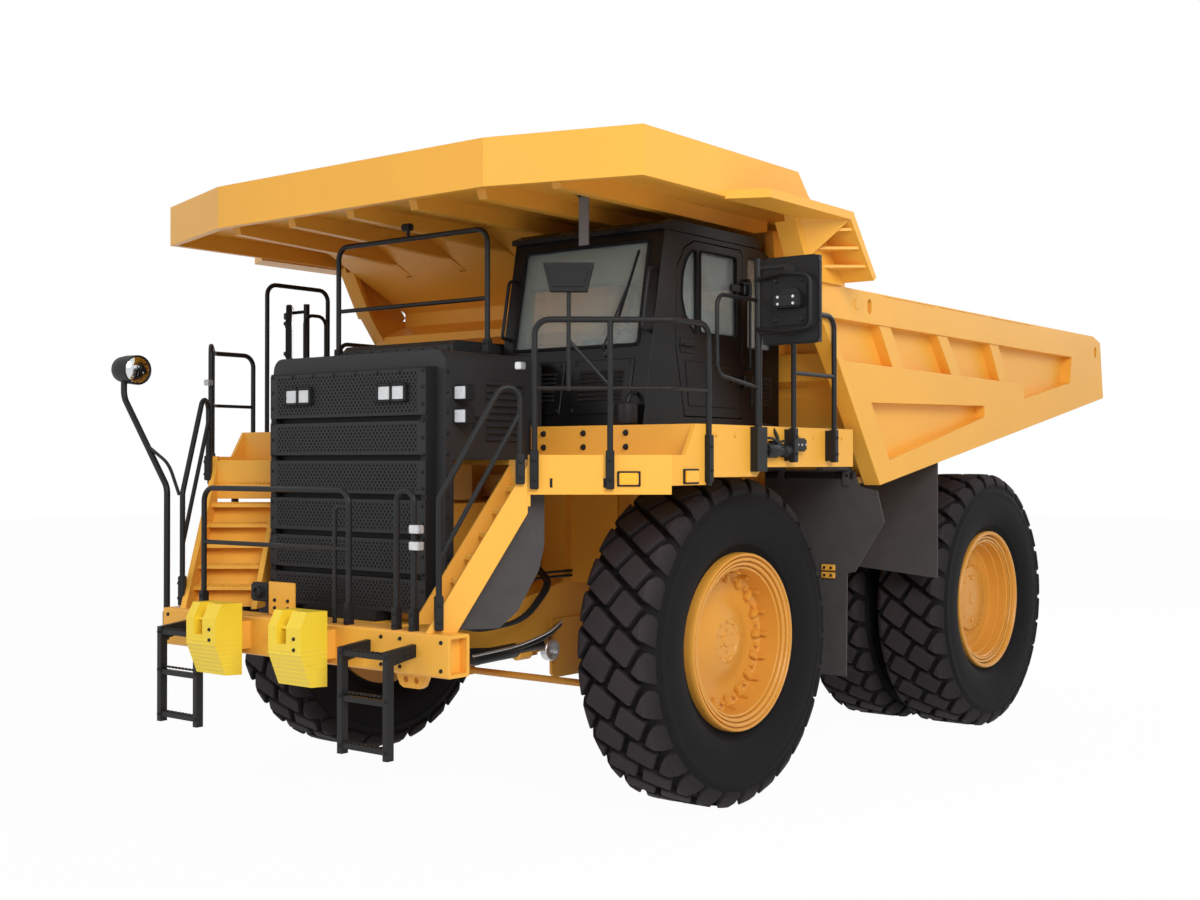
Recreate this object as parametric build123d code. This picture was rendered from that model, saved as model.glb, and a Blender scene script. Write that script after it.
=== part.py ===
"""Rigid mining dump truck, 100-ton class, in millimetres.

Front faces -Y, the cab side is +X, up is +Z and the ground is z = 0. Lengths along Y are drawn from
the front axle; each node is shifted at export so that the origin lies under the middle of the truck.
"""
from build123d import *
import os
from math import cos, hypot, pi, radians, sin, tan

# Overall layout
FRONT_AXLE_Y = -2227.0
WHEELBASE = 4560.0
TYRE_RADIUS = 1343.0
TYRE_WIDTH = 752.0
TREAD_WIDTH = 650.0
TYRE_PITCHES = 24
LUG_SHARE = 0.72
LUG_DEPTH = 62.0
RIM_SEAT_RADIUS = 622.0
RIM_FLANGE_RADIUS = 729.0
RIM_HALF_WIDTH = 262.0
FRONT_WHEEL_X = 2098.0
REAR_OUTER_X = 2231.0
DUAL_SPACING = 890.0
SEAT_GAP = 0.3

# Steering gear
KINGPIN_X = 1390.0
STEER_ARM = 800.0
STEER_PIN_OFFSET = 90.0
STEER_ARM_Z = (1050.0, 1110.0)
STEER_PIN_RADIUS = 30.0
TIE_ROD_Z = 1010.0
LEVER_PIN_RADIUS = 60.0
STRUT_RADIUS = 150.0
STRUT_ROD_RADIUS = 110.0
STRUT_Z = (1660.0, 2760.0)
SPINDLE_RADIUS = 180.0
AXLE_SPINDLE_RADIUS = 230.0

# Frame
RAIL_X = (430.0, 700.0)
RAIL_TOP = 2045.0
PIVOT_Y = WHEELBASE + 1190.0
PIVOT_Z = 2150.0
PIVOT_PIN_RADIUS = 80.0
BED_BEAM_X = (460.0, 680.0)
BED_REST_GAP = 7.0
BUMPER_HALF = 1690.0
BUMPER_Y = (-2600.0, -2390.0)
BUMPER_Z = (1287.0, 1592.0)

# Decks and stairs
DECK_HALF = 2720.0
DECK_INNER = 450.0
DECK_Z = (2790.0, 2830.0)
DECK_REAR = 1300.0
FASCIA_LOW_TOP = 2865.0
FASCIA_BOTTOM = 2575.0
FASCIA_SIDE_BOTTOM = (2640.0, 2697.0, 2772.0)
PLATFORM_TOP = 3100.0
PLATFORM_FRONT = -1060.0
STAIR_FOOT = (1461.0, -2596.0)
STAIR_ANGLE = 34.5
STAIR_RUN = 738.0
STAIR_WIDTH = 640.0
STAIR_HEADER = 20.0
STRINGER_THICKNESS = 45.0
DECK_NOSE = (STAIR_FOOT[0] + STAIR_RUN * sin(radians(STAIR_ANGLE)),
             STAIR_FOOT[1] + STAIR_RUN * cos(radians(STAIR_ANGLE)))
DECK_CORNER = (DECK_HALF, -1362.0)

# Cab
CAB_X = (470.0, 2080.0)
CAB_FLOOR = 3100.0
CAB_EAVE = 4680.0
CAB_TOP = 4770.0
CAB_WALL = 70.0
CAB_FRONT_FOOT = -882.0
CAB_FRONT_RISE = 282.0
CAB_REAR = 1090.0
GLASS = 16.0

# Bed
BED_INNER_HALF = 2600.0
BED_SIDE_DEPTH = 162.0
BED_OUTER_HALF = BED_INNER_HALF + BED_SIDE_DEPTH
FLOOR_FRONT_Y = 1717.0
FLOOR_FRONT_Z = 2625.0
FLOOR_SLOPE = 9.91
FLOOR_LENGTH = 5750.0
FLOOR_DROP = 250.0
FLOOR_THICKNESS = 60.0
BED_RAIL_TOP = 4330.0
CANOPY_HALF = BED_OUTER_HALF + 35.0
CANOPY_FRONT = -2150.0
CANOPY_NOSE_HALF = 1584.0
CANOPY_CORNER_Y = -1800.0
CANOPY_LIP = (4830.0, 5190.0)
CANOPY_PLATE = (4975.0, 5010.0)
CANOPY_LIP_WALL = 60.0
WING_HALF = CANOPY_HALF + 303.0

# Hoists
HOIST_X = 830.0
HOIST_FOOT = (WHEELBASE - 1210.0, 1050.0)
HOIST_HEAD = (WHEELBASE - 1060.0, 2500.0)
HOIST_RADII = (110.0, 86.0, 60.0)
HOIST_EYE = 75.0
HOIST_NECK = 50.0
HOIST_PIN_RADIUS = 40.0
HOIST_EYE_HALF = 70.0
HOIST_EAR_GAP = 6.0
HOIST_EAR = 30.0

TUBE = 22.0
TUBE_BEND = 110.0

nodes = {}


def slab(x, y, z):
    """Box between two corners, given as ranges along X, Y and Z."""
    size = (x[1] - x[0], y[1] - y[0], z[1] - z[0])
    return Pos(x[0], y[0], z[0]) * Box(*size, align=(Align.MIN, Align.MIN, Align.MIN))


def side_plate(points, x):
    """Plate whose outline is given as (y, z) points, between two X values."""
    plane = Plane(origin=(x[0], 0, 0), x_dir=(0, 1, 0), z_dir=(1, 0, 0))
    return extrude(plane * Polygon(*points, align=None), x[1] - x[0], dir=(1, 0, 0))


def plan_plate(points, z):
    """Plate whose outline is given as (x, y) points, between two heights."""
    return extrude(Pos(0, 0, z[0]) * Polygon(*points, align=None), z[1] - z[0], dir=(0, 0, 1))


def cross_plate(points, y):
    """Plate whose outline is given as (x, z) points, between two Y values."""
    plane = Plane(origin=(0, y[1], 0), x_dir=(1, 0, 0), z_dir=(0, -1, 0))
    return extrude(plane * Polygon(*points, align=None), y[1] - y[0], dir=(0, -1, 0))


def rod(start, end, radius):
    """Round bar from one point to another."""
    start, end = Vector(*start), Vector(*end)
    length = (end - start).length
    return Solid.make_cylinder(radius, length, Plane(origin=start, z_dir=end - start))


def pipe(points, radius=TUBE, bend=TUBE_BEND):
    """Bent round tube through the given points."""
    path = FilletPolyline(*points, radius=bend)
    section = Plane(origin=path @ 0, z_dir=path % 0) * Circle(radius)
    return sweep(section, path=path)


def lathe(profile, x=0.0, z=TYRE_RADIUS, y=0.0):
    """Solid of revolution about an axle along X, from (x, radius) points."""
    plane = Plane(origin=(x, y, z), x_dir=(1, 0, 0), z_dir=(0, -1, 0))
    face = plane * Polygon(*profile, align=None)
    return revolve(face, Axis((x, y, z), (1, 0, 0)))


def mirrored(shape):
    """The same piece on the other side of the truck."""
    return mirror(shape, about=Plane.YZ)


def pair(shape):
    return [shape, mirrored(shape)]


def node(name, *shapes):
    """Register the solids of one named piece."""
    solids = []
    for shape in shapes:
        solids += list(shape.solids())
    nodes[name] = solids


# Tyres: a ring of flat pitches with a lug across each, so that a lug lies flat on the ground

def tyre(x, y):
    half = TYRE_WIDTH / 2
    tread = TREAD_WIDTH / 2
    bead = RIM_HALF_WIDTH - SEAT_GAP
    rings = {"seat": (bead, RIM_SEAT_RADIUS + SEAT_GAP), "bead": (bead, RIM_FLANGE_RADIUS + 10),
             "bulge": (half, 1020.0), "shoulder": (tread + 12, TYRE_RADIUS - 120),
             "lug": (tread, TYRE_RADIUS), "groove": (tread - 25, TYRE_RADIUS - LUG_DEPTH)}
    step = 2 * pi / TYRE_PITCHES
    first, last = (1 - LUG_SHARE) / 2, (1 + LUG_SHARE) / 2

    def place(name, side, k, share=0.0):
        """Point of a ring on one side of the tyre, along the flat of pitch k."""
        across, radius = rings[name]
        turn = -pi / 2 + k * step
        aside = (2 * share - 1) * tan(step / 2)
        return Vector(x + side * across, y + radius * (cos(turn) - aside * sin(turn)),
                      TYRE_RADIUS + radius * (sin(turn) + aside * cos(turn)))

    def outline(share, k):
        """Section of a lug above the groove, in the plane at one end of the lug."""
        return [place("shoulder", 1, k, share), place("lug", 1, k, share), place("lug", -1, k, share),
                place("shoulder", -1, k, share), place("groove", -1, k, share), place("groove", 1, k, share)]

    faces = []

    def add(*points):
        faces.append(Face(Wire.make_polygon(list(points))))

    for k in range(TYRE_PITCHES):
        add(place("seat", -1, k), place("seat", 1, k), place("seat", 1, k, 1), place("seat", -1, k, 1))
        add(place("lug", -1, k, first), place("lug", 1, k, first), place("lug", 1, k, last), place("lug", -1, k, last))
        add(*outline(first, k))
        add(*outline(last, k))
        add(place("groove", -1, k, last), place("groove", 1, k, last), place("groove", 1, k + 1, first),
            place("groove", -1, k + 1, first))
        for side in (-1, 1):
            for low, high in (("seat", "bead"), ("bead", "bulge")):
                add(place(low, side, k), place(low, side, k, 1), place(high, side, k, 1), place(high, side, k))
            add(place("bulge", side, k), place("bulge", side, k, 1), place("shoulder", side, k, 1),
                place("shoulder", side, k, last), place("shoulder", side, k, first), place("shoulder", side, k))
            add(place("shoulder", side, k, first), place("shoulder", side, k, last), place("lug", side, k, last),
                place("lug", side, k, first))
            add(place("shoulder", side, k, last), place("shoulder", side, k, 1), place("shoulder", side, k + 1, first))
            add(place("shoulder", side, k, last), place("shoulder", side, k + 1, first),
                place("groove", side, k + 1, first), place("groove", side, k, last))
    solid = Solid(Shell(faces))
    return solid if solid.volume > 0 else -solid


# Rims

def front_rim():
    flange = RIM_FLANGE_RADIUS
    seat = RIM_SEAT_RADIUS
    edge = RIM_HALF_WIDTH
    profile = [(170, 0), (170, 200), (130, 300), (90, 345), (90, 540), (120, 575), (318, 598), (318, 672),
               (356, 690), (356, flange), (edge, flange), (edge, seat), (-edge, seat), (-edge, flange - 14),
               (-300, flange - 14), (-300, 590), (30, 560), (30, 345), (-200, 330),
               (-200, SPINDLE_RADIUS + SEAT_GAP), (60, SPINDLE_RADIUS + SEAT_GAP), (60, 0)]
    return lathe(profile, x=FRONT_WHEEL_X)


def rear_rims():
    outer, inner = REAR_OUTER_X, REAR_OUTER_X - DUAL_SPACING
    flange = RIM_FLANGE_RADIUS
    seat = RIM_SEAT_RADIUS
    edge = RIM_HALF_WIDTH
    bore = AXLE_SPINDLE_RADIUS + SEAT_GAP
    profile = [(outer + 100, 0), (outer + 100, 330), (outer + 60, 350), (outer + 60, 430), (outer + 40, 560),
               (outer + 250, 600), (outer + 250, 672), (outer + 320, 690), (outer + 320, flange),
               (outer + edge, flange), (outer + edge, seat), (outer - edge, seat), (outer - edge, flange - 14),
               (outer - 300, flange - 14), (outer - 300, 590), (outer - 80, 560), (outer - 80, 480),
               (inner + 140, 480), (inner + 140, 560), (inner + 300, 590), (inner + 300, flange - 14),
               (inner + edge, flange - 14), (inner + edge, seat), (inner - edge, seat),
               (inner - edge, flange - 14), (inner - 300, flange - 14), (inner - 300, 590), (inner + 60, 560),
               (inner + 60, 480), (inner - 320, 480), (inner - 320, bore), (outer - 220, bore), (outer - 220, 0)]
    return lathe(profile, y=WHEELBASE)


# Knuckle: strut rod, hub block, wheel spindle and steering arm, turning about the kingpin

def knuckle():
    top = STRUT_Z[0] - 10
    block = Pos(KINGPIN_X, 0, 0) * Cylinder(215, top - 1110, align=(Align.CENTER, Align.CENTER, Align.MIN))
    block = Pos(0, 0, 1110) * block
    piston = rod((KINGPIN_X, 0, top - 20), (KINGPIN_X, 0, STRUT_Z[1] - 460), STRUT_ROD_RADIUS)
    spindle = rod((KINGPIN_X, 0, TYRE_RADIUS), (FRONT_WHEEL_X + 55, 0, TYRE_RADIUS), SPINDLE_RADIUS)
    tip = (KINGPIN_X + STEER_PIN_OFFSET, -STEER_ARM)
    arm = plan_plate([(KINGPIN_X - 150, 120), (KINGPIN_X - 110, -220), (tip[0] - 60, tip[1] - 20),
                      (tip[0] + 60, tip[1] - 20), (KINGPIN_X + 130, -220), (KINGPIN_X + 150, 120)], STEER_ARM_Z)
    eye = Pos(tip[0], tip[1], STEER_ARM_Z[0]) * Cylinder(
        75, STEER_ARM_Z[1] - STEER_ARM_Z[0], align=(Align.CENTER, Align.CENTER, Align.MIN))
    pin = rod((tip[0], tip[1], TIE_ROD_Z - 40), (tip[0], tip[1], STEER_ARM_Z[1] - 10), STEER_PIN_RADIUS)
    collar = Pos(KINGPIN_X, 0, STEER_ARM_Z[0]) * Cylinder(190, 80, align=(Align.CENTER, Align.CENTER, Align.MIN))
    return block + piston + spindle + arm + eye + pin + collar


def steering_lever():
    thickness = STEER_ARM_Z[1] - STEER_ARM_Z[0]
    hub = Pos(0, 0, STEER_ARM_Z[0]) * Cylinder(130, thickness, align=(Align.CENTER, Align.CENTER, Align.MIN))
    arm = plan_plate([(-120, 0), (-90, -STEER_ARM + 160), (-170, -STEER_ARM + 60), (-170, -STEER_ARM - 60),
                      (170, -STEER_ARM - 60), (170, -STEER_ARM + 60), (90, -STEER_ARM + 160), (120, 0)], STEER_ARM_Z)
    lever = hub + arm + rod((0, 0, STEER_ARM_Z[1] - 10), (0, 0, 1290), LEVER_PIN_RADIUS)
    for x in (-STEER_PIN_OFFSET, STEER_PIN_OFFSET):
        lever += rod((x, -STEER_ARM, TIE_ROD_Z - 40), (x, -STEER_ARM, STEER_ARM_Z[1] - 10), STEER_PIN_RADIUS)
    return lever


def tie_rod():
    inner = (STEER_PIN_OFFSET, -STEER_ARM)
    outer = (KINGPIN_X + STEER_PIN_OFFSET, -STEER_ARM)
    bar = rod((*inner, TIE_ROD_Z), (*outer, TIE_ROD_Z), 29)
    for x, y in (inner, outer):
        bar += Pos(x, y, TIE_ROD_Z) * Cylinder(58, 68)
    for x, y in (inner, outer):
        bar -= Pos(x, y, TIE_ROD_Z) * Cylinder(STEER_PIN_RADIUS + SEAT_GAP, 90)
    return bar


for side, flip in (("left", False), ("right", True)):
    def hand(shape):
        return mirrored(shape) if flip else shape
    node(f"front_tyre_{side}", hand(tyre(FRONT_WHEEL_X, 0)))
    node(f"front_rim_{side}", hand(front_rim()))
    node(f"rear_tyres_{side}", hand(tyre(REAR_OUTER_X, WHEELBASE)),
         hand(tyre(REAR_OUTER_X - DUAL_SPACING, WHEELBASE)))
    node(f"rear_rims_{side}", hand(rear_rims()))
    node(f"knuckle_{side}", hand(knuckle()))
    node(f"tie_rod_{side}", hand(tie_rod()))
node("steering_lever", steering_lever())


# Frame: two box rails, strut towers, cross tubes and the bed pivot ears

def hoist_bracket():
    """Clevis on a shelf that hangs from the rail's outer face."""
    y, z = HOIST_FOOT
    shelf_top = z - HOIST_EYE - 25
    low = HOIST_X - HOIST_EYE_HALF - HOIST_EAR_GAP
    high = HOIST_X + HOIST_EYE_HALF + HOIST_EAR_GAP
    outline = [(y - 150, shelf_top - 10), (y + 150, shelf_top - 10), (y + 85, z + 60), (y + 40, z + 85),
               (y - 40, z + 85), (y - 85, z + 60)]
    ears = side_plate(outline, (low - HOIST_EAR, low)) + side_plate(outline, (high, high + HOIST_EAR))
    shelf = slab((RAIL_X[1] - 10, high + HOIST_EAR), (y - 180, y + 180), (shelf_top - 60, shelf_top))
    hanger_face = HOIST_X - HOIST_RADII[0] - HOIST_EAR_GAP
    hanger = slab((RAIL_X[1] - 10, hanger_face), (y - 180, y + 180), (shelf_top - 60, 1420))
    pin = rod((low - HOIST_EAR, y, z), (high + HOIST_EAR, y, z), HOIST_PIN_RADIUS)
    return ears + shelf + hanger + pin


def frame():
    outline = [(BUMPER_Y[1], 1290), (BUMPER_Y[1], 1560), (-1500, 1570), (-900, 1620), (300, 1900),
               (1900, RAIL_TOP), (PIVOT_Y - 350, RAIL_TOP), (PIVOT_Y - 270, 1980), (PIVOT_Y - 270, 1720),
               (WHEELBASE - 560, 1720), (WHEELBASE - 1260, 1220), (-1500, 1180)]
    rail = side_plate(outline, RAIL_X)
    tower = slab(RAIL_X, (-230, 230), (1700, DECK_Z[0]))
    strut_pad = slab((RAIL_X[1] - 10, KINGPIN_X - STRUT_RADIUS - 10), (-150, 150), (1760, 2640))
    rear_post = slab(RAIL_X, (1120, 1260), (1900, DECK_Z[0]))
    ear = [(PIVOT_Y - 550, 1750), (PIVOT_Y - 550, 2030), (PIVOT_Y - 110, 2300), (PIVOT_Y - 50, 2330),
           (PIVOT_Y + 50, 2330), (PIVOT_Y + 130, 2280), (PIVOT_Y + 180, 2150), (PIVOT_Y + 130, 2020),
           (PIVOT_Y - 270, 1740)]
    inner = side_plate(ear, (BED_BEAM_X[0] - 60, BED_BEAM_X[0] - 10))
    outer = side_plate(ear, (BED_BEAM_X[1] + 10, BED_BEAM_X[1] + 60))
    half = rail + tower + strut_pad + rear_post + inner + outer + hoist_bracket()
    bore = rod((RAIL_X[0] - 100, PIVOT_Y, PIVOT_Z), (RAIL_X[1] + 100, PIVOT_Y, PIVOT_Z),
               PIVOT_PIN_RADIUS + SEAT_GAP)
    half -= bore
    across = (-RAIL_X[0] - 20, RAIL_X[0] + 20)
    whole = half + mirrored(half)
    whole += slab(across, (BUMPER_Y[1], -1900), (1310, 1570))
    whole += slab(across, (-170, 170), (1190, 1330))
    whole += slab(across, (1300, 1500), (1190, 1240))
    whole += rod((across[0], 2300, 1830), (across[1], 2300, 1830), 190)
    whole += rod((across[0], PIVOT_Y - 500, 1880), (across[1], PIVOT_Y - 500, 1880), 140)
    whole += slab(across, (-110, 110), (2500, 2700))
    whole -= rod((0, 0, 1100), (0, 0, 1300), LEVER_PIN_RADIUS + SEAT_GAP)
    return whole


node("frame", frame())


# Front bumper with tow lugs under it

TOW_HOLE_RADIUS = 24.0
TOW_LUG_X = 1230.0
TOW_LUG_Y = (-2520.0, -2470.0)
TOW_HOLE_SPACING = 110.0
TOW_HOLE_Z = 1235.0
CHOCK_X = ((184.0, 554.0), (-828.0, -458.0))
CHOCK_DEPTH = 245.0
CHOCK_STAND = 125.0


def front_bumper():
    beam = slab((-BUMPER_HALF, BUMPER_HALF), BUMPER_Y, BUMPER_Z)
    beam = chamfer(beam.edges().filter_by(Axis.X), 14)
    for sign in (-1, 1):
        x = sign * TOW_LUG_X
        lug = [(x - 170, BUMPER_Z[0] + 5), (x - 120, 1195), (x - 80, 1175), (x + 80, 1175), (x + 120, 1195),
               (x + 170, BUMPER_Z[0] + 5)]
        beam += cross_plate(lug, TOW_LUG_Y)
        for offset in (-TOW_HOLE_SPACING / 2, TOW_HOLE_SPACING / 2):
            beam -= rod((x + offset, TOW_LUG_Y[0] - 20, TOW_HOLE_Z), (x + offset, TOW_LUG_Y[1] + 20, TOW_HOLE_Z),
                        TOW_HOLE_RADIUS)
    beam -= slab((BUMPER_HALF - 70, BUMPER_HALF + 10), (BUMPER_Y[0] + 28, BUMPER_Y[1] - 28),
                 (BUMPER_Z[0] + 28, BUMPER_Z[1] - 28))
    for x in CHOCK_X:
        beam += slab((x[0] + 60, x[1] - 60), (BUMPER_Y[0] - CHOCK_STAND, BUMPER_Y[0] + 5), (1340, 1560))
    return beam


node("front_bumper", front_bumper())


# Hanging ladders in front of the bumper

LADDER_X = (837.0, 1368.0)
LADDER_Y = (-2870.0, -2810.0)
LADDER_Z = (715.0, 1480.0)
LADDER_RAIL = 50.0


def ladder():
    shape = None
    for x in (LADDER_X[0], LADDER_X[1] - LADDER_RAIL):
        rail = slab((x, x + LADDER_RAIL), LADDER_Y, LADDER_Z)
        arm = side_plate([(LADDER_Y[0], LADDER_Z[1] - 110), (BUMPER_Y[0], LADDER_Z[1] - 60),
                          (BUMPER_Y[0], LADDER_Z[1] + 30), (LADDER_Y[0], LADDER_Z[1])], (x, x + LADDER_RAIL))
        shape = rail + arm if shape is None else shape + rail + arm
    for level in (LADDER_Z[0] + 40, LADDER_Z[0] + 380, LADDER_Z[1] - 60):
        shape += slab((LADDER_X[0] + 10, LADDER_X[1] - 10), (LADDER_Y[0] + 8, LADDER_Y[1] - 8), (level, level + 40))
    return shape


node("ladders", *pair(ladder()))


# Wheel chocks carried on the bumper

def chock(x):
    back = BUMPER_Y[0] - CHOCK_STAND
    front = back - CHOCK_DEPTH
    outline = [(back, 1710), (back, 1150), (back - 150, 1160), (front, 1400), (front, 1600), (front + 60, 1715)]
    grip = slab((x[0] + 95, x[1] - 165), (front - 10, front + 130), (1475, 1760))
    bar = rod((x[0] + 80, front + 55, 1590), (x[1] - 150, front + 55, 1590), 14)
    return side_plate(outline, x) - grip + bar


node("wheel_chocks", *[chock(x) for x in CHOCK_X])


# Engine, driveline and rear axle

node("engine", side_plate([(-1450, 1330), (850, 1330), (850, 2350), (500, 2470), (-1300, 2470), (-1450, 2350)],
                          (-410, 410)))


def driveline():
    gearbox = slab((-330, 330), (950, 2050), (1240, 1880))
    shaft = rod((0, 2040, 1480), (0, WHEELBASE - 505, TYRE_RADIUS), 75)
    flange = rod((0, 2049, 1480), (0, 2140, 1480), 130)
    return gearbox + shaft + flange


node("driveline", driveline())


def rear_axle():
    banjo = Pos(0, WHEELBASE, TYRE_RADIUS) * Sphere(440)
    nose = Pos(0, WHEELBASE - 500, TYRE_RADIUS) * Rot(90, 0, 0) * Cylinder(200, 200)
    tube = rod((-960, WHEELBASE, TYRE_RADIUS), (960, WHEELBASE, TYRE_RADIUS), 300)
    reach = REAR_OUTER_X - 225
    spindle = rod((-reach, WHEELBASE, TYRE_RADIUS), (reach, WHEELBASE, TYRE_RADIUS), AXLE_SPINDLE_RADIUS)
    axle = banjo + nose + tube + spindle
    for sign in (-1, 1):
        axle += slab((sign * 790 - 60, sign * 790 + 60), (WHEELBASE + 200, WHEELBASE + 560), (1240, 1440))
    return axle - rod((0, 2040, 1480), (0, WHEELBASE - 505, TYRE_RADIUS), 75)


node("rear_axle", rear_axle())

REAR_STRUT_Y = WHEELBASE + 470.0


def front_strut():
    barrel = rod((KINGPIN_X, 0, STRUT_Z[0]), (KINGPIN_X, 0, STRUT_Z[1]), STRUT_RADIUS)
    pad = slab((KINGPIN_X - STRUT_RADIUS - 10, KINGPIN_X), (-130, 130), (1780, 2620))
    bore = rod((KINGPIN_X, 0, STRUT_Z[0] - 10), (KINGPIN_X, 0, STRUT_Z[1] - 450), STRUT_ROD_RADIUS + SEAT_GAP)
    return barrel + pad - bore


def rear_strut():
    low = rod((790, REAR_STRUT_Y, 1440), (790, REAR_STRUT_Y, 1700), 70)
    barrel = rod((790, REAR_STRUT_Y, 1680), (790, REAR_STRUT_Y, 1960), 85)
    hanger = slab((RAIL_X[1], 875), (REAR_STRUT_Y - 60, REAR_STRUT_Y + 60), (1840, 1990))
    return low + barrel + hanger


node("struts", *pair(front_strut()), *pair(rear_strut()))


# Hoist cylinders: telescopic, foot pinned to the frame, head between two ears of the bed

HOIST_LENGTH = hypot(HOIST_HEAD[0] - HOIST_FOOT[0], HOIST_HEAD[1] - HOIST_FOOT[1])
HOIST_BARREL = HOIST_LENGTH - 300.0


def hoist_stage(start, end, radius, bore_radius=None, bore_start=0.0):
    """One cylinder along the hoist, measured from the foot pin."""
    ux = (HOIST_HEAD[0] - HOIST_FOOT[0]) / HOIST_LENGTH
    uz = (HOIST_HEAD[1] - HOIST_FOOT[1]) / HOIST_LENGTH

    def at(distance):
        return (HOIST_X, HOIST_FOOT[0] + ux * distance, HOIST_FOOT[1] + uz * distance)
    body = rod(at(start), at(end), radius)
    if bore_radius:
        body -= rod(at(bore_start), at(end + 10), bore_radius)
    return body


def hoist_eye(center):
    y, z = center
    return rod((HOIST_X - HOIST_EYE_HALF, y, z), (HOIST_X + HOIST_EYE_HALF, y, z), HOIST_EYE)


def hoist_hole(center):
    y, z = center
    return rod((HOIST_X - 100, y, z), (HOIST_X + 100, y, z), HOIST_PIN_RADIUS + SEAT_GAP)


def hoist_barrel():
    body = hoist_stage(115, HOIST_BARREL, HOIST_RADII[0], HOIST_RADII[1] + SEAT_GAP, 145)
    neck = hoist_stage(0, 120, HOIST_NECK)
    return body + neck + hoist_eye(HOIST_FOOT) - hoist_hole(HOIST_FOOT)


def hoist_sleeve():
    return hoist_stage(150, HOIST_BARREL + 50, HOIST_RADII[1], HOIST_RADII[2] + SEAT_GAP, 200)


def hoist_rod():
    body = hoist_stage(205, HOIST_LENGTH - 50, HOIST_RADII[2])
    return body + hoist_eye(HOIST_HEAD) - hoist_hole(HOIST_HEAD)


for side, flip in (("left", False), ("right", True)):
    for name, make in (("barrel", hoist_barrel), ("sleeve", hoist_sleeve), ("rod", hoist_rod)):
        piece = make()
        node(f"hoist_{name}_{side}", mirrored(piece) if flip else piece)


# Bed: floor with a shallow V, sides, headboard, canopy, underbeams

FLOOR_PLANE = Plane(origin=(0, FLOOR_FRONT_Y, FLOOR_FRONT_Z), x_dir=(-1, 0, 0),
                    z_dir=(0, cos(radians(FLOOR_SLOPE)), sin(radians(FLOOR_SLOPE))))


def floor_section(low, high):
    half = BED_INNER_HALF
    return Polygon((-half, low), (0, low - FLOOR_DROP), (half, low), (half, high), (0, high - FLOOR_DROP),
                   (-half, high), align=None)


def bed_floor():
    return extrude(FLOOR_PLANE * floor_section(0, FLOOR_THICKNESS), FLOOR_LENGTH, dir=FLOOR_PLANE.z_dir)


def below_floor():
    half = BED_INNER_HALF + 100
    drop = FLOOR_DROP * half / BED_INNER_HALF
    wedge = Polygon((-half, drop - FLOOR_DROP), (0, -FLOOR_DROP), (half, drop - FLOOR_DROP), (half, -1200),
                    (-half, -1200), align=None)
    return extrude(FLOOR_PLANE * wedge, 900, both=True)


def floor_under(y, x):
    """Height of the floor's underside at a place."""
    side = FLOOR_FRONT_Z + tan(radians(FLOOR_SLOPE)) * (y - FLOOR_FRONT_Y)
    return side - FLOOR_DROP * (1 - x / BED_INNER_HALF) / cos(radians(FLOOR_SLOPE))


def bed_side():
    outline = [(1717, 2605), (1192, 3362), (968, 3684), (640, 4090), (460, BED_RAIL_TOP), (7066, BED_RAIL_TOP),
               (7303, 4265), (7402, 3598)]
    wall = side_plate(outline, (BED_INNER_HALF, BED_OUTER_HALF))
    skin = BED_INNER_HALF + 45
    upper = side_plate([(810, 4050), (1070, 3690), (4981, 3660), (4981, 3500), (6320, 3735), (6371, 4040)],
                       (skin, BED_OUTER_HALF + 10))
    lower = side_plate([(1900, 2830), (1560, 3345), (3953, 3392), (3953, 3275)], (skin, BED_OUTER_HALF + 10))
    wall = wall - upper - lower
    for y, z in ((1527, 4200), (7139, 4140)):
        for level in (z - 28, z + 28):
            wall -= rod((skin, y, level), (BED_OUTER_HALF + 10, y, level), 38)
        wall -= slab((skin, BED_OUTER_HALF + 10), (y - 38, y + 38), (z - 28, z + 28))
    for top, foot in ((1786, 2084), (2955, 3310), (4169, 4447)):
        rib = [(top - 70, 4055), (top + 150, 4055), (foot + 150, 3640), (foot - 70, 3640)]
        wall += side_plate(rib, (skin - 5, BED_OUTER_HALF - 12))
    return wall


HEADBOARD = 60.0
SLOPE_X = (-BED_INNER_HALF, 300.0)
SLOPE_TOP_Y = -180.0
SLOPE_FOOT = (940.0, 4413.0)


def headboard_front(z):
    """Front face of the headboard behind the cab, at a height."""
    return 1400 - 150 * (z - 3400) / (CANOPY_PLATE[0] - 3400)


def canopy_slope():
    """Sloped plate and ledge that run down from the canopy to the headboard, beside the cab."""
    y, z = SLOPE_FOOT
    outside = [(SLOPE_TOP_Y, CANOPY_PLATE[0]), (y, z), (y, z - 143), (y - 300, z - 273), (y - 300, z - 353),
               (headboard_front(z - 393) + 10, z - 393), (headboard_front(CANOPY_PLATE[0]) + 10, CANOPY_PLATE[0])]
    inside = [(SLOPE_TOP_Y + 90, CANOPY_PLATE[0] + 10), (y + 45, z + 32), (y + 45, z - 173), (y - 250, z - 301),
              (y - 250, z - 315), (headboard_front(z - 345), z - 345),
              (headboard_front(CANOPY_PLATE[0] + 10), CANOPY_PLATE[0] + 10)]
    return side_plate(outside, SLOPE_X) - side_plate(inside, (SLOPE_X[0] - 10, SLOPE_X[1] + 10))


def bed_headboard():
    outline = [(1980, 2300), (1400, 3400), (1250, CANOPY_PLATE[0]), (1250 + HEADBOARD, CANOPY_PLATE[0]),
               (1400 + HEADBOARD, 3420), (1980 + HEADBOARD * 1.1, 2300)]
    wall = side_plate(outline, (-BED_INNER_HALF, BED_INNER_HALF))
    beam = side_plate([(1390, 3500), (1260, 3540), (1240, 3780), (1350, 3800)],
                      (-BED_INNER_HALF, BED_INNER_HALF))
    wall += beam
    for x in (390, 1170, 1950):
        wall += side_plate([(1360, 3790), (1240, 3780), (1130, 4900), (1270, 4900)], (x - 45, x + 45))
    return wall + canopy_slope() - bed_floor() - below_floor()


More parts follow.
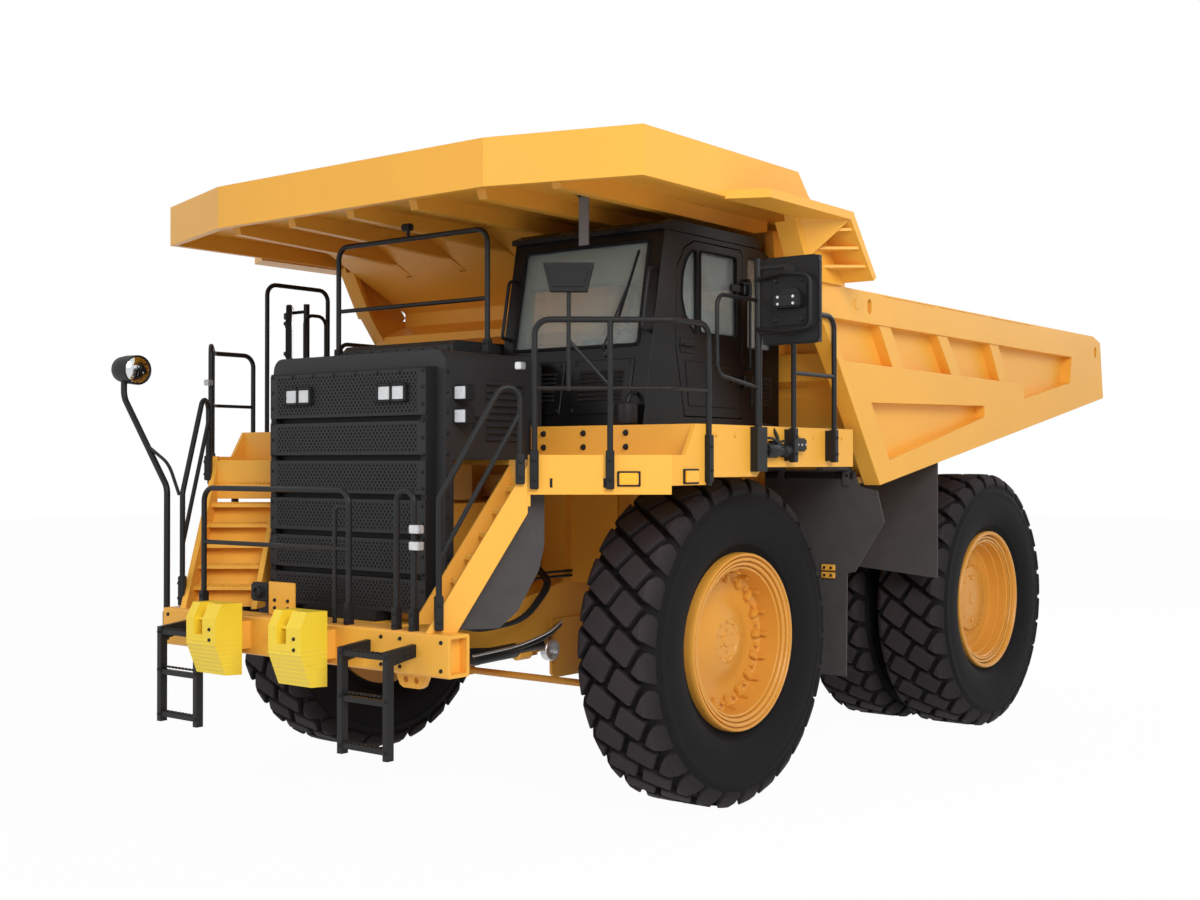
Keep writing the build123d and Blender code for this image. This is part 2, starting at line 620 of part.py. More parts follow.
def canopy_plan(inset):
    half, nose = CANOPY_HALF - inset, CANOPY_NOSE_HALF - inset * 0.3
    front, corner = CANOPY_FRONT + inset, CANOPY_CORNER_Y + inset * 0.6
    return [(-half, 700), (-half, corner), (-nose, front), (nose, front), (half, corner), (half, 700)]


def bed_canopy():
    lip = plan_plate(canopy_plan(0), CANOPY_LIP) - plan_plate(canopy_plan(CANOPY_LIP_WALL),
                                                              (CANOPY_LIP[0] - 10, CANOPY_LIP[1] + 10))
    trim = side_plate([(256, 5200), (420, 5019), (640, 4870), (700, 4820), (720, 4820), (720, 5200)],
                      (-CANOPY_HALF - 10, CANOPY_HALF + 10))
    lip = lip - trim
    plate = plan_plate([(-CANOPY_HALF + 40, 400), (-CANOPY_HALF + 40, CANOPY_CORNER_Y + 24),
                        (-CANOPY_NOSE_HALF + 12, CANOPY_FRONT + 40), (CANOPY_NOSE_HALF - 12, CANOPY_FRONT + 40),
                        (CANOPY_HALF - 40, CANOPY_CORNER_Y + 24), (CANOPY_HALF - 40, 400),
                        (BED_INNER_HALF, 600), (BED_INNER_HALF, 1250 + HEADBOARD),
                        (-BED_INNER_HALF, 1250 + HEADBOARD), (-BED_INNER_HALF, 600)], CANOPY_PLATE)
    whole = lip + plate
    for x in (-1910, -1146, -382):
        rib = [(-1750, CANOPY_PLATE[0] + 5), (-1700, CANOPY_LIP[0] + 30), (150, CANOPY_LIP[0] - 33), (480, 4650),
               (515, 4642), (-100, CANOPY_PLATE[0] + 5)]
        whole += side_plate(rib, (x - 45, x + 45))
    for x in (382, 1146, 1910):
        rib = [(-1700, CANOPY_LIP[0] + 20), (-1750, CANOPY_PLATE[0] + 5), (1100, CANOPY_PLATE[0] + 5),
               (1100, CANOPY_LIP[0] + 60), (900, CANOPY_LIP[0] + 20)]
        whole += side_plate(rib, (x - 45, x + 45))
    wing = wing_half()
    return whole + wing + mirrored(wing)


def wing_half():
    """Spill wing beside the canopy on the cab side: flat plate, slope with ribs, cheek and front flange."""
    root = CANOPY_HALF - 10
    top = plan_plate([(root, -780), (WING_HALF, -630), (WING_HALF, 640), (root, 640)], (4815, 4885))
    slope = side_plate([(640, 4885), (600, 4815), (985, 4350), (1035, 4380)], (BED_OUTER_HALF, WING_HALF))
    cheek = side_plate([(256, 5150), (420, 5015), (640, 4870), (1035, 4380), (985, BED_RAIL_TOP),
                        (460, BED_RAIL_TOP), (215, 4790), (195, 4840)], (BED_INNER_HALF + 100, CANOPY_HALF))
    flange = side_plate([(460, BED_RAIL_TOP), (215, 4790), (262, 4815), (512, BED_RAIL_TOP)],
                        (BED_INNER_HALF, CANOPY_HALF))
    wing = top + slope + cheek + flange
    for z in (4450, 4590, 4730):
        y = 605 + (4815 - z) * (985 - 600) / (4815 - 4350)
        rib = [(root, y + 20), (WING_HALF - 25, y + 20), (WING_HALF - 25, y - 30), (root, y - 240)]
        wing += plan_plate(rib, (z, z + 25))
    gusset = Face(Wire.make_polygon([Vector(root, 270, 4825), Vector(WING_HALF - 5, 615, 4825),
                                     Vector(root, 460, 4520)]))
    return wing + extrude(gusset, 25)


def bed_beams():
    def half():
        low = RAIL_TOP + BED_REST_GAP
        rear = PIVOT_Y + 500
        tail = floor_under(rear, BED_BEAM_X[0]) + 25
        nose = floor_under(1900, BED_BEAM_X[0]) + 25
        outline = [(1900, low), (PIVOT_Y - 270, low), (PIVOT_Y - 150, 2010), (PIVOT_Y, 1990),
                   (PIVOT_Y + 130, 2050), (PIVOT_Y + 170, 2150), (rear, 2700), (rear, tail), (1900, nose)]
        beam = side_plate(outline, BED_BEAM_X)
        y, z = HOIST_HEAD
        inner = HOIST_X - HOIST_EYE_HALF - HOIST_EAR_GAP
        outer = HOIST_X + HOIST_EYE_HALF + HOIST_EAR_GAP
        front, rear_end = floor_under(y - 240, HOIST_X) + 30, floor_under(y + 240, HOIST_X) + 30
        ear = [(y - 240, front), (y - 90, z - 90), (y + 90, z - 90), (y + 240, rear_end)]
        ears = side_plate(ear, (inner - HOIST_EAR, inner)) + side_plate(ear, (outer, outer + HOIST_EAR))
        ears -= hoist_hole(HOIST_HEAD)
        pin = rod((BED_BEAM_X[0] - 60, PIVOT_Y, PIVOT_Z), (BED_BEAM_X[1] + 60, PIVOT_Y, PIVOT_Z), PIVOT_PIN_RADIUS)
        return [beam + pin, *ears.solids()]
    floor = bed_floor()
    shapes = []
    for shape in half():
        cut = shape - floor
        shapes += pair(cut)
    return shapes


def bed_flap():
    y = (WHEELBASE - 1570, WHEELBASE - 1550)
    low, high = BED_INNER_HALF - 810, BED_INNER_HALF - 10
    inner, outer = floor_under(y[0], low) + 25, floor_under(y[0], high) + 25
    edge = BED_OUTER_HALF - 62
    return cross_plate([(low, inner), (high, outer), (edge, outer), (edge, 1680), (low, 1760)], y)


def rock_ejector():
    x = REAR_OUTER_X - DUAL_SPACING / 2
    top = floor_under(WHEELBASE, x)
    bar = slab((x - 25, x + 25), (WHEELBASE - 45, WHEELBASE + 45), (2250, top + 40))
    return bar - bed_floor()


node("bed_floor", bed_floor())
node("bed_sides", *pair(bed_side()))
node("bed_headboard", bed_headboard())
node("bed_canopy", bed_canopy() - bed_headboard())
node("bed_beams", *bed_beams())
node("bed_flaps", *pair(bed_flap() - bed_floor() - bed_side()))
node("rock_ejectors", *pair(rock_ejector()))


# Decks: walkway plate, outer fascia and the raised cab platform

def on_stair(shape):
    """Place a piece drawn along the stair: +Y up the flight, -X inwards, z = 0 on the bumper."""
    return Pos(STAIR_FOOT[0], STAIR_FOOT[1], BUMPER_Z[1]) * Rot(0, 0, -STAIR_ANGLE) * shape


def deck():
    stair = radians(STAIR_ANGLE)
    inner = (DECK_NOSE[0] - STAIR_WIDTH * cos(stair), DECK_NOSE[1] + STAIR_WIDTH * sin(stair))
    outline = [(DECK_INNER, -1250), (1060, -1250), inner, DECK_NOSE, DECK_CORNER, (DECK_HALF, DECK_REAR),
               (DECK_INNER, DECK_REAR)]
    shape = plan_plate(outline, DECK_Z)
    inset = 40
    band = [DECK_NOSE, DECK_CORNER, (DECK_HALF - inset, DECK_CORNER[1] + 22), (DECK_NOSE[0] - 8, DECK_NOSE[1] + 48)]
    shape += plan_plate(band, (FASCIA_BOTTOM, FASCIA_LOW_TOP))
    first, second, third = FASCIA_SIDE_BOTTOM
    corner = DECK_CORNER[1]
    side = [(corner, first), (-915, first), (-856, second), (-238, second), (-151, third), (DECK_REAR, third),
            (DECK_REAR, PLATFORM_TOP), (PLATFORM_FRONT, PLATFORM_TOP), (PLATFORM_FRONT - 130, FASCIA_LOW_TOP),
            (corner, FASCIA_LOW_TOP)]
    shape += side_plate(side, (DECK_HALF - inset, DECK_HALF))
    rise = DECK_Z[0] - BUMPER_Z[1]
    shape += on_stair(slab((-STAIR_WIDTH, 0), (STAIR_RUN, STAIR_RUN + STAIR_HEADER), (rise - 300, rise + 10)))
    platform = slab((1060, DECK_HALF - inset), (PLATFORM_FRONT, DECK_REAR), (PLATFORM_TOP - 30, PLATFORM_TOP))
    front = slab((1060, DECK_HALF - inset), (PLATFORM_FRONT, PLATFORM_FRONT + 40), (DECK_Z[0], PLATFORM_TOP))
    inner_wall = slab((DECK_INNER, DECK_INNER + 40), (-850, DECK_REAR), (DECK_Z[0], PLATFORM_TOP))
    bridge = slab((DECK_INNER, 1070), (-850, DECK_REAR), (PLATFORM_TOP - 30, PLATFORM_TOP))
    return shape + platform + front + inner_wall + bridge


def centre_deck():
    return slab((-DECK_INNER, DECK_INNER), (-850, DECK_REAR), (PLATFORM_TOP - 30, PLATFORM_TOP))


node("decks", *pair(deck()), centre_deck())


# Stairs: diagonal in plan, from the bumper's top up and outwards to the deck

STAIR_TREADS = 6
TREAD_SETBACK = 70.0


def stairs():
    rise = DECK_Z[0] - BUMPER_Z[1]
    depth = 260.0
    inner_x = -STAIR_WIDTH
    foot = [(0, 0), (STAIR_RUN, rise), (STAIR_RUN, rise - depth * 1.35), (depth * 0.86, 0)]
    outer = side_plate(foot, (-STRINGER_THICKNESS, 0))
    inner = side_plate(foot, (inner_x, inner_x + STRINGER_THICKNESS))
    shape = outer + inner
    for k in range(1, STAIR_TREADS + 1):
        z = rise * k / (STAIR_TREADS + 1)
        y = STAIR_RUN * k / (STAIR_TREADS + 1)
        behind = depth * 0.80 + (STAIR_RUN - depth * 0.80) * (z - 30) / (rise - depth * 1.28)
        end = min(y + TREAD_SETBACK + 200, behind + 5, STAIR_RUN)
        shape += slab((inner_x + 10, -10), (y + TREAD_SETBACK, end), (z - 30, z))
    back = side_plate([(depth * 0.80, 0), (STAIR_RUN, rise - depth * 1.28), (STAIR_RUN, rise - depth * 1.35),
                       (depth * 0.86, 0)], (inner_x, 0))
    return on_stair(shape + back)


node("stairs", *pair(stairs() - front_bumper()))


# Front fenders and rear mud flaps of the front wheels

def front_fender():
    rise = DECK_Z[0] - BUMPER_Z[1]
    plate = side_plate([(260, 0), (560, 0), (700, 120), (860, 420), (900, 600), (900, rise),
                        (STAIR_RUN + STAIR_HEADER, rise), (STAIR_RUN + STAIR_HEADER, 820)], (-176, -160))
    return on_stair(plate)


FLAP_Y = (1662.0, 1680.0)


def mud_flap():
    edge = DECK_HALF
    plate = cross_plate([(1560, 2740), (edge - 200, 2740), (edge - 140, 2590), (edge + 40, 2553),
                         (edge + 110, 2273), (edge - 190, 1815), (edge - 270, 1800), (edge - 280, 860),
                         (edge - 660, 860), (edge - 660, 1800), (1560, 2100)], FLAP_Y)
    for x in (1750, edge - 270):
        plate += slab((x - 35, x + 35), (DECK_REAR - 120, FLAP_Y[1]), (DECK_Z[0] - 50, DECK_Z[0]))
        plate += slab((x - 35, x + 35), (FLAP_Y[0] - 20, FLAP_Y[1]), (2600, DECK_Z[0]))
    return plate


node("front_fenders", *pair(front_fender()))
node("mud_flaps", *pair(mud_flap()))


# Grille with louvre gaps, and the hood behind it

GRILLE_HALF = 932.0
GRILLE_Y = (-2090.0, -1900.0)
GRILLE_Z = (1650.0, 3545.0)
LOUVRE_TOP = 3129.0
LOUVRE_PITCH = 305.0
LOUVRE_GAP = 45.0
HOOD_HALF = 1031.0
HOOD_TOP = 3680.0
HOOD_WALL = 40.0
HOOD_Y = (-1990.0, -900.0)
HOOD_CORNER = 110.0
COVER_RISE = 150.0
COVER_X = (-HOOD_HALF + 60, 400.0)


def grille():
    body = slab((-GRILLE_HALF, GRILLE_HALF), GRILLE_Y, GRILLE_Z)
    for k in range(5):
        z = LOUVRE_TOP - k * LOUVRE_PITCH
        body -= slab((-GRILLE_HALF + 60, GRILLE_HALF - 60), (GRILLE_Y[0] - 5, GRILLE_Y[0] + 70), (z, z + LOUVRE_GAP))
    legs = slab((-430, 430), (-2150, GRILLE_Y[1]), (1570, GRILLE_Z[0]))
    return body + legs


def hood_section(inset, low):
    """Arch of the hood as (x, z) points, with rounded upper corners."""
    half, top, radius = HOOD_HALF - inset, HOOD_TOP - inset, HOOD_CORNER - inset
    right = []
    for k in range(5):
        turn = k * pi / 8
        right.append((half - radius + radius * cos(turn), top - radius + radius * sin(turn)))
    return [(half, low)] + right + [(-px, pz) for px, pz in reversed(right)] + [(-half, low)]


def hood():
    shell = cross_plate(hood_section(0, DECK_Z[1]), HOOD_Y)
    shell -= cross_plate(hood_section(HOOD_WALL, DECK_Z[1] - 10), (HOOD_Y[0] - 10, HOOD_Y[1] - HOOD_WALL))
    front = cross_plate(hood_section(0, GRILLE_Z[0]), (HOOD_Y[0], GRILLE_Y[1]))
    front -= slab((-GRILLE_HALF, GRILLE_HALF), (HOOD_Y[0] - 10, GRILLE_Y[1] + 10), (GRILLE_Z[0] - 10, GRILLE_Z[1]))
    low, high = PLATFORM_TOP, HOOD_TOP + COVER_RISE
    front_y, rear_y = HOOD_Y[1] - 390, HOOD_Y[1] + 1400
    cover = side_plate([(front_y, HOOD_TOP - 10), (front_y, high - 40), (front_y + 40, high), (rear_y - 50, high),
                        (rear_y, high - 50), (rear_y, low), (HOOD_Y[1] - 5, low), (HOOD_Y[1] - 5, HOOD_TOP - 10)],
                       COVER_X)
    cover -= slab((COVER_X[0] + HOOD_WALL, COVER_X[1] - HOOD_WALL), (HOOD_Y[1] + HOOD_WALL, rear_y - HOOD_WALL),
                  (low - 10, high - HOOD_WALL))
    return shell + front + cover


node("grille", grille())
node("hood", hood())


# Cab: shell with its window openings, roof, glass, seats and dashboard

def cab_front(z):
    """Where the slanted front face of the cab lies at a height."""
    return CAB_FRONT_FOOT + CAB_FRONT_RISE * (z - CAB_FLOOR) / (CAB_EAVE - CAB_FLOOR)


WINDSCREEN_X = (CAB_X[0] + 120, CAB_X[1] - 130)
WINDSCREEN_Z = (3740.0, 4610.0)
DOOR = [(-330, 3190), (-450, 3760), (-430, 4400), (-330, 4560), (-190, 4630), (470, 4630), (500, 4600),
        (500, 3190)]
DOOR_GAP = 8.0
QUARTER = [(590, 3800), (590, 4580), (760, 4580), (930, 4380), (960, 3800)]
SIDE_WINDOW = [(-480, 3800), (-400, 4560), (760, 4560), (930, 4380), (960, 3800)]
REAR_WINDOW_X = (CAB_X[0] + 200, CAB_X[1] - 200)
REAR_WINDOW_Z = (3850.0, 4400.0)


def cab_outline(inset, top):
    return [(cab_front(CAB_FLOOR) + inset, CAB_FLOOR + inset), (cab_front(top) + inset, top),
            (CAB_REAR - 320 - inset * 0.5, top), (CAB_REAR - 180 - inset * 0.75, CAB_EAVE - 40 - inset * 0.6),
            (CAB_REAR - 70 - inset, CAB_EAVE - 130 - inset * 0.5), (CAB_REAR - 15 - inset, CAB_EAVE - 250),
            (CAB_REAR - inset, CAB_EAVE - 390), (CAB_REAR - inset, CAB_FLOOR + inset)]


def grown(points, gap):
    """Outline grown outwards from its middle by about a gap."""
    my = sum(p[0] for p in points) / len(points)
    mz = sum(p[1] for p in points) / len(points)
    return [(y + gap * (1 if y > my else -1), z + gap * (1 if z > mz else -1)) for y, z in points]


HINGE_AXIS = (CAB_X[1] + 25, 504.0)
HINGE_Z = (3500.0, 4300.0)
HINGE_PIN_RADIUS = 10.0
HINGE_EYE = 20.0


def hinge_brackets():
    shape = None
    for z in HINGE_Z:
        base = slab((CAB_X[1] - 5, HINGE_AXIS[0] + HINGE_EYE), (530, 590), (z - 50, z + 50))
        piece = base + rod((*HINGE_AXIS, z - 50), (*HINGE_AXIS, z + 50), HINGE_PIN_RADIUS)
        for low in (z - 50, z + 35):
            piece += rod((*HINGE_AXIS, low), (*HINGE_AXIS, low + 15), HINGE_EYE - 2)
            piece += slab((HINGE_AXIS[0] - 14, HINGE_AXIS[0] + 14), (HINGE_AXIS[1], 540), (low, low + 15))
        shape = piece if shape is None else shape + piece
    return shape


def hinge_eyes():
    shape = None
    for z in HINGE_Z:
        strap = slab((CAB_X[1] - 5, CAB_X[1] + 14), (330, HINGE_AXIS[1] - 4), (z - 30, z + 30))
        piece = strap + rod((*HINGE_AXIS, z - 30), (*HINGE_AXIS, z + 30), HINGE_EYE)
        piece -= rod((*HINGE_AXIS, z - 60), (*HINGE_AXIS, z + 60), HINGE_PIN_RADIUS + SEAT_GAP)
        shape = piece if shape is None else shape + piece
    return shape


def cab_shell():
    body = side_plate(cab_outline(0, CAB_EAVE), CAB_X)
    body -= side_plate(cab_outline(CAB_WALL, CAB_EAVE + 10), (CAB_X[0] + CAB_WALL, CAB_X[1] - CAB_WALL))
    low, high = WINDSCREEN_Z
    body -= side_plate([(cab_front(low) - 90, low), (cab_front(low) + 160, low), (cab_front(high) + 160, high),
                        (cab_front(high) - 90, high)], WINDSCREEN_X)
    body -= side_plate(grown(DOOR, DOOR_GAP), (CAB_X[1] - CAB_WALL - 10, CAB_X[1] + 10))
    body -= side_plate(QUARTER, (CAB_X[1] - CAB_WALL - 10, CAB_X[1] + 10))
    body -= side_plate(SIDE_WINDOW, (CAB_X[0] - 10, CAB_X[0] + CAB_WALL + 10))
    body -= slab(REAR_WINDOW_X, (CAB_REAR - CAB_WALL - 10, CAB_REAR + 10), REAR_WINDOW_Z)
    return body + hinge_brackets()


def cab_roof():
    front, rear = cab_front(CAB_EAVE) - 40, CAB_REAR - 310
    outline = [(front, CAB_EAVE), (front, CAB_EAVE + 40), (front + 120, CAB_TOP), (rear - 120, CAB_TOP),
               (rear, CAB_EAVE + 40), (rear, CAB_EAVE)]
    return side_plate(outline, (CAB_X[0] - 15, CAB_X[1] + 15))


def cab_glass():
    low, high = WINDSCREEN_Z
    inset = 20
    screen = side_plate([(cab_front(low) + inset, low), (cab_front(low) + inset + GLASS, low),
                         (cab_front(high) + inset + GLASS, high), (cab_front(high) + inset, high)], WINDSCREEN_X)
    quarter = side_plate(QUARTER, (CAB_X[1] - 40, CAB_X[1] - 40 + GLASS))
    side = side_plate(SIDE_WINDOW, (CAB_X[0] + 24, CAB_X[0] + 24 + GLASS))
    rear = slab(REAR_WINDOW_X, (CAB_REAR - 40, CAB_REAR - 40 + GLASS), REAR_WINDOW_Z)
    return [screen, quarter, side, rear]


DOOR_X = (CAB_X[1] - CAB_WALL, CAB_X[1])
DOOR_PANES = ([(-190, 3870), (-325, 4010), (-372, 4150), (-362, 4330), (-310, 4470), (-230, 4550), (-165, 4557),
               (-165, 3870)],
              [(-115, 3880), (-115, 4560), (415, 4560), (415, 3880)])


def cab_door():
    panel = side_plate(DOOR, DOOR_X)
    for pane in DOOR_PANES:
        panel -= side_plate(pane, (DOOR_X[0] - 10, DOOR_X[1] + 10))
    return panel + hinge_eyes()


SEAT_X = ((1150.0, 1650.0), (600.0, 1000.0))


def seat(x):
    floor = CAB_FLOOR + CAB_WALL
    base = slab((x[0] + 90, x[1] - 90), (150, 560), (floor, floor + 330))
    cushion = slab(x, (100, 640), (floor + 330, floor + 460))
    back = side_plate([(560, floor + 460), (700, floor + 1080), (820, floor + 1080), (690, floor + 460)], x)
    return base + cushion + back


def dashboard():
    floor = CAB_FLOOR + CAB_WALL
    body = side_plate([(cab_front(floor) + CAB_WALL + 30, floor), (-520, floor), (-460, 3700), (-560, 3720),
                       (cab_front(3720) + CAB_WALL + 10, 3720)], (CAB_X[0] + CAB_WALL, CAB_X[1] - CAB_WALL))
    column = rod((1400, -520, 3562), (1400, -252, 3798), 35)
    rim = Plane(origin=(1400, -250, 3800), z_dir=(0, 250, 220)) * Torus(210, 18)
    spoke = Plane(origin=(1400, -250, 3800), z_dir=(0, 250, 220)) * Box(400, 40, 16)
    return body + column + rim + spoke


node("cab_shell", cab_shell())
node("cab_roof", cab_roof())
node("cab_glass", *cab_glass())
node("cab_seats", *[seat(x) for x in SEAT_X])
node("dashboard", dashboard() - cab_shell())
node("cab_door", cab_door())
node("door_glass", *[side_plate(pane, (DOOR_X[0] + 25, DOOR_X[0] + 25 + GLASS)) for pane in DOOR_PANES])


# Tanks on the outsides of the rails

TANK_Y = (WHEELBASE - 2550.0, WHEELBASE - 1520.0)
TANK_Z = (1060.0, 1880.0)
TANK_X = (700.0, 1480.0)


def tank():
    body = slab(TANK_X, TANK_Y, TANK_Z)
    return fillet(body.edges().filter_by(Axis.Y).sort_by(Axis.X)[2:], 150)


node("tanks", *pair(tank()))


# Handrails

RAIL_TOP_Z = 3850.0
RAIL_MID_Z = 3350.0


def front_corner_rail():
    """Rail round the deck's slanted front corner, its posts flat against the fascia."""
    span = hypot(DECK_CORNER[0] - DECK_NOSE[0], DECK_CORNER[1] - DECK_NOSE[1])
    along = ((DECK_CORNER[0] - DECK_NOSE[0]) / span, (DECK_CORNER[1] - DECK_NOSE[1]) / span)
    stand = TUBE - 5

    def beside(distance):
        return (DECK_NOSE[0] + along[0] * distance + along[1] * stand,
                DECK_NOSE[1] + along[1] * distance - along[0] * stand)
    first, middle = beside(50), beside(600)
    corner = (DECK_HALF + stand, DECK_CORNER[1] - 8)
    last = (DECK_HALF + stand, -918.0)
    foot = FASCIA_BOTTOM + 60
    run = pipe([(*first, foot), (*first, RAIL_TOP_Z), (*corner, RAIL_TOP_Z), (*last, RAIL_TOP_Z), (*last, foot)])
    run += rod((*middle, foot), (*middle, RAIL_TOP_Z), TUBE)
    run += pipe([(*first, RAIL_MID_Z), (*corner, RAIL_MID_Z), (*last, RAIL_MID_Z)], 16)
    return run


def stair_rail():
    rise = DECK_Z[0] - BUMPER_Z[1]
    x = TUBE - 6
    foot, head = 90.0, STAIR_RUN - 60
    rail = pipe([(x, foot, 60), (x, foot, 960), (x, head, rise + 820), (x, head, rise - 130)], TUBE, 90)
    rail += rod((x, foot, 520), (x, head, rise + 380), 18)
    return on_stair(rail)


REAR_RAIL_Y = (200.0, 850.0)
REAR_RAIL_TOP = 4050.0


def rear_deck_rail():
    """Rail beside the cab's rear, standing out from the fascia so that the bed passes inside it."""
    x = BED_OUTER_HALF + 8 + TUBE
    low = FASCIA_SIDE_BOTTOM[2] + 50
    first, last = REAR_RAIL_Y
    rail = pipe([(x, first, low), (x, first, REAR_RAIL_TOP), (x, last, REAR_RAIL_TOP), (x, last, low)])
    rail += rod((x, first, 3540), (x, last, 3540), 18)
    for y in REAR_RAIL_Y:
        rail += slab((DECK_HALF, x), (y - 30, y + 30), (low, PLATFORM_TOP - 20))
    return rail


def right_hoops():
    """Two hoops on the right deck, either side of its mirror."""
    x = -DECK_HALF - TUBE + 5
    tall = pipe([(x, -754, 2760), (x, -754, 4575), (x, 0, 4575), (x, 0, 2800)])
    inner = x + 2 * TUBE + 16
    low = pipe([(inner, -340, PLATFORM_TOP), (inner, -340, 4300), (inner, -75, 4300), (inner, -75, PLATFORM_TOP)],
               18, 100)
    return [tall - mirrored(deck()), low]


def front_mirror():
    """Mirror on a bent arm that stands on the front corner rail."""
    base = (DECK_NOSE[0] + 250, DECK_NOSE[1] + 163)
    post = rod((*base, RAIL_MID_Z - 20), (*base, 4080), 16)
    arm = rod((*base, 3700), (base[0] + 250, base[1] + 190, RAIL_MID_Z), 14)
    head = cross_plate([(-175, 4250), (175, 4250), (130, 4085), (60, 4060), (-60, 4060), (-130, 4085)], (-30, 30))
    return post + arm + Pos(*base, 0) * Rot(0, 0, 36) * head


BUMPER_RAIL_Y = -2560.0


def bumper_rails():
    top = 2600.0
    low = BUMPER_Z[1]
    long_rail = pipe([(-1185, BUMPER_RAIL_Y, low), (-1185, BUMPER_RAIL_Y, top), (600, BUMPER_RAIL_Y, top),
                      (600, BUMPER_RAIL_Y, low)])
    long_rail += rod((-1185, BUMPER_RAIL_Y, 2160), (600, BUMPER_RAIL_Y, 2160), 18)
    short = pipe([(1120, BUMPER_RAIL_Y, low), (1120, BUMPER_RAIL_Y, top), (1300, BUMPER_RAIL_Y, top),
                  (1300, BUMPER_RAIL_Y, low)], TUBE, 80)
    return [long_rail, short]


def hood_rail():
    y = -1400.0
    rail = pipe([(-900, y, HOOD_TOP), (-900, y, 4690), (900, y, 4690), (900, y, HOOD_TOP)])
    return rail + rod((-900, y, 4130), (900, y, 4130), 18)


node("bumper_rails", *bumper_rails())
node("hood_rail", hood_rail())


# Mirrors

MIRROR_WIDTH = 510.0
RIGHT_MIRROR_TURN = 41.0


def mirror_post():
    x = DECK_HALF + 30
    post = rod((x, -260, FASCIA_SIDE_BOTTOM[1] + 40), (x, -260, 4420), 30)
    foot = slab((DECK_HALF, x + 40), (-330, -190), (FASCIA_SIDE_BOTTOM[1] + 40, PLATFORM_TOP - 10))
    return post + foot


def gate():
    """Hoop that closes the way past the mirror post."""
    x = DECK_HALF + 30
    return pipe([(x, -260, 4090), (x, -828, 4090), (x, -828, 3480), (x, -260, 3400)], 16, 90)


def left_mirror():
    x = DECK_HALF + 30
    reach = x + 310
    arms = slab((x, reach), (-275, -245), (4330, 4360)) + slab((x, reach), (-275, -245), (3820, 3850))
    plate = slab((x + 40, x + 40 + MIRROR_WIDTH), (-250, -205), (3740, 4410))
    return mirror_post() + gate() + arms + plate


def right_deck_mirror():
    """Turned inwards so that the driver sees it across the hood."""
    x = -DECK_HALF - 30
    arms = slab((x - 310, x), (-275, -245), (4330, 4360)) + slab((x - 310, x), (-275, -245), (3820, 3850))
    half = MIRROR_WIDTH / 2
    plate = Pos(x - 290, -230, 0) * Rot(0, 0, -RIGHT_MIRROR_TURN) * slab((-half, half), (-22, 22), (3740, 4410))
    return mirrored(mirror_post()) + arms + plate


def pole_mirror():
    """Small wide-angle mirror on a bent pole at the bumper's right end."""
    x = -BUMPER_HALF - 40
    pole = pipe([(x, -2540, BUMPER_Z[0] + 40), (x, -2540, 2600), (x - 640, -2540, 3380), (x - 640, -2540, 3620)],
                26, 160)
    head = slab((x - 760, x - 520), (-2520, -2450), (3540, 3720))
    foot = slab((x, -BUMPER_HALF), (-2580, -2500), (BUMPER_Z[0] + 40, BUMPER_Z[1] - 40))
    return pole + head + foot


node("mirrors", left_mirror(), right_deck_mirror(), pole_mirror())
node("deck_rails", (front_corner_rail() + front_mirror()) - deck(), mirrored(front_corner_rail() - deck()),
     *pair(stair_rail() - stairs()), *pair(rear_deck_rail()), *right_hoops())

# Lamps set in the grille panel
LAMP_Z = (3300.0, 3400.0)


def lamps():
    pieces = []
    for x in (-640, -480, 480, 640):
        pieces.append(slab((x - 65, x + 65), (GRILLE_Y[0] - 25, GRILLE_Y[0]), LAMP_Z))
    return pieces


node("lamps", *lamps())

os.makedirs("parts", exist_ok=True)
for name, solids in nodes.items():
    shape = Compound(children=solids) if len(solids) > 1 else solids[0]
    export_step(shape.moved(Location((0, FRONT_AXLE_Y, 0))), f"parts/{name}.step")
print(len(nodes), "nodes")
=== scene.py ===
from math import cos, pi, radians, sin, tan

import bmesh
import bpy
from mathutils import Matrix, Vector


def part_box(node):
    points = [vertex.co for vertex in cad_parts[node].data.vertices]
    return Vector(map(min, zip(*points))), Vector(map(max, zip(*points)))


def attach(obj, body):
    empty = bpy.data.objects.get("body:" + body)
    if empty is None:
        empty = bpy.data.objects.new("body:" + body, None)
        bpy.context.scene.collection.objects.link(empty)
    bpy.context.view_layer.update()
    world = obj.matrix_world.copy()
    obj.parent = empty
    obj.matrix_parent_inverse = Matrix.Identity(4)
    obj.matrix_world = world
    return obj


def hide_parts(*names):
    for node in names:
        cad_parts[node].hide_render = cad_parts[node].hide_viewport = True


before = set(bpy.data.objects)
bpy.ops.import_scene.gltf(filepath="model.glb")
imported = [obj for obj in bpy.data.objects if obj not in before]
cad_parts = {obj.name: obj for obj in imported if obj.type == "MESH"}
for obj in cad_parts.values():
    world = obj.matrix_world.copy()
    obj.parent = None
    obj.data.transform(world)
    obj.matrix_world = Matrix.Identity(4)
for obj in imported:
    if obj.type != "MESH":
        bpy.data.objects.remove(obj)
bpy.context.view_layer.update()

# Studio
# The truck stands on a pale floor under three large soft lights, as for a catalogue picture. The camera
# is off its left front corner, at about half the truck's height, with a moderate lens.
rim_low, rim_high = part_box("front_rim_left")
front_axle = (rim_low.y + rim_high.y) / 2


def at(x, y, z):
    """A place on the truck, with y counted from the front axle."""
    return Vector((x, y + front_axle, z))


def linear(red, green, blue):
    """A colour as seen on a screen, 0 to 255, as the shader's linear colour."""
    parts = []
    for value in (red, green, blue):
        share = value / 255
        parts.append(share / 12.92 if share <= 0.04045 else ((share + 0.055) / 1.055) ** 2.4)
    return (*parts, 1.0)


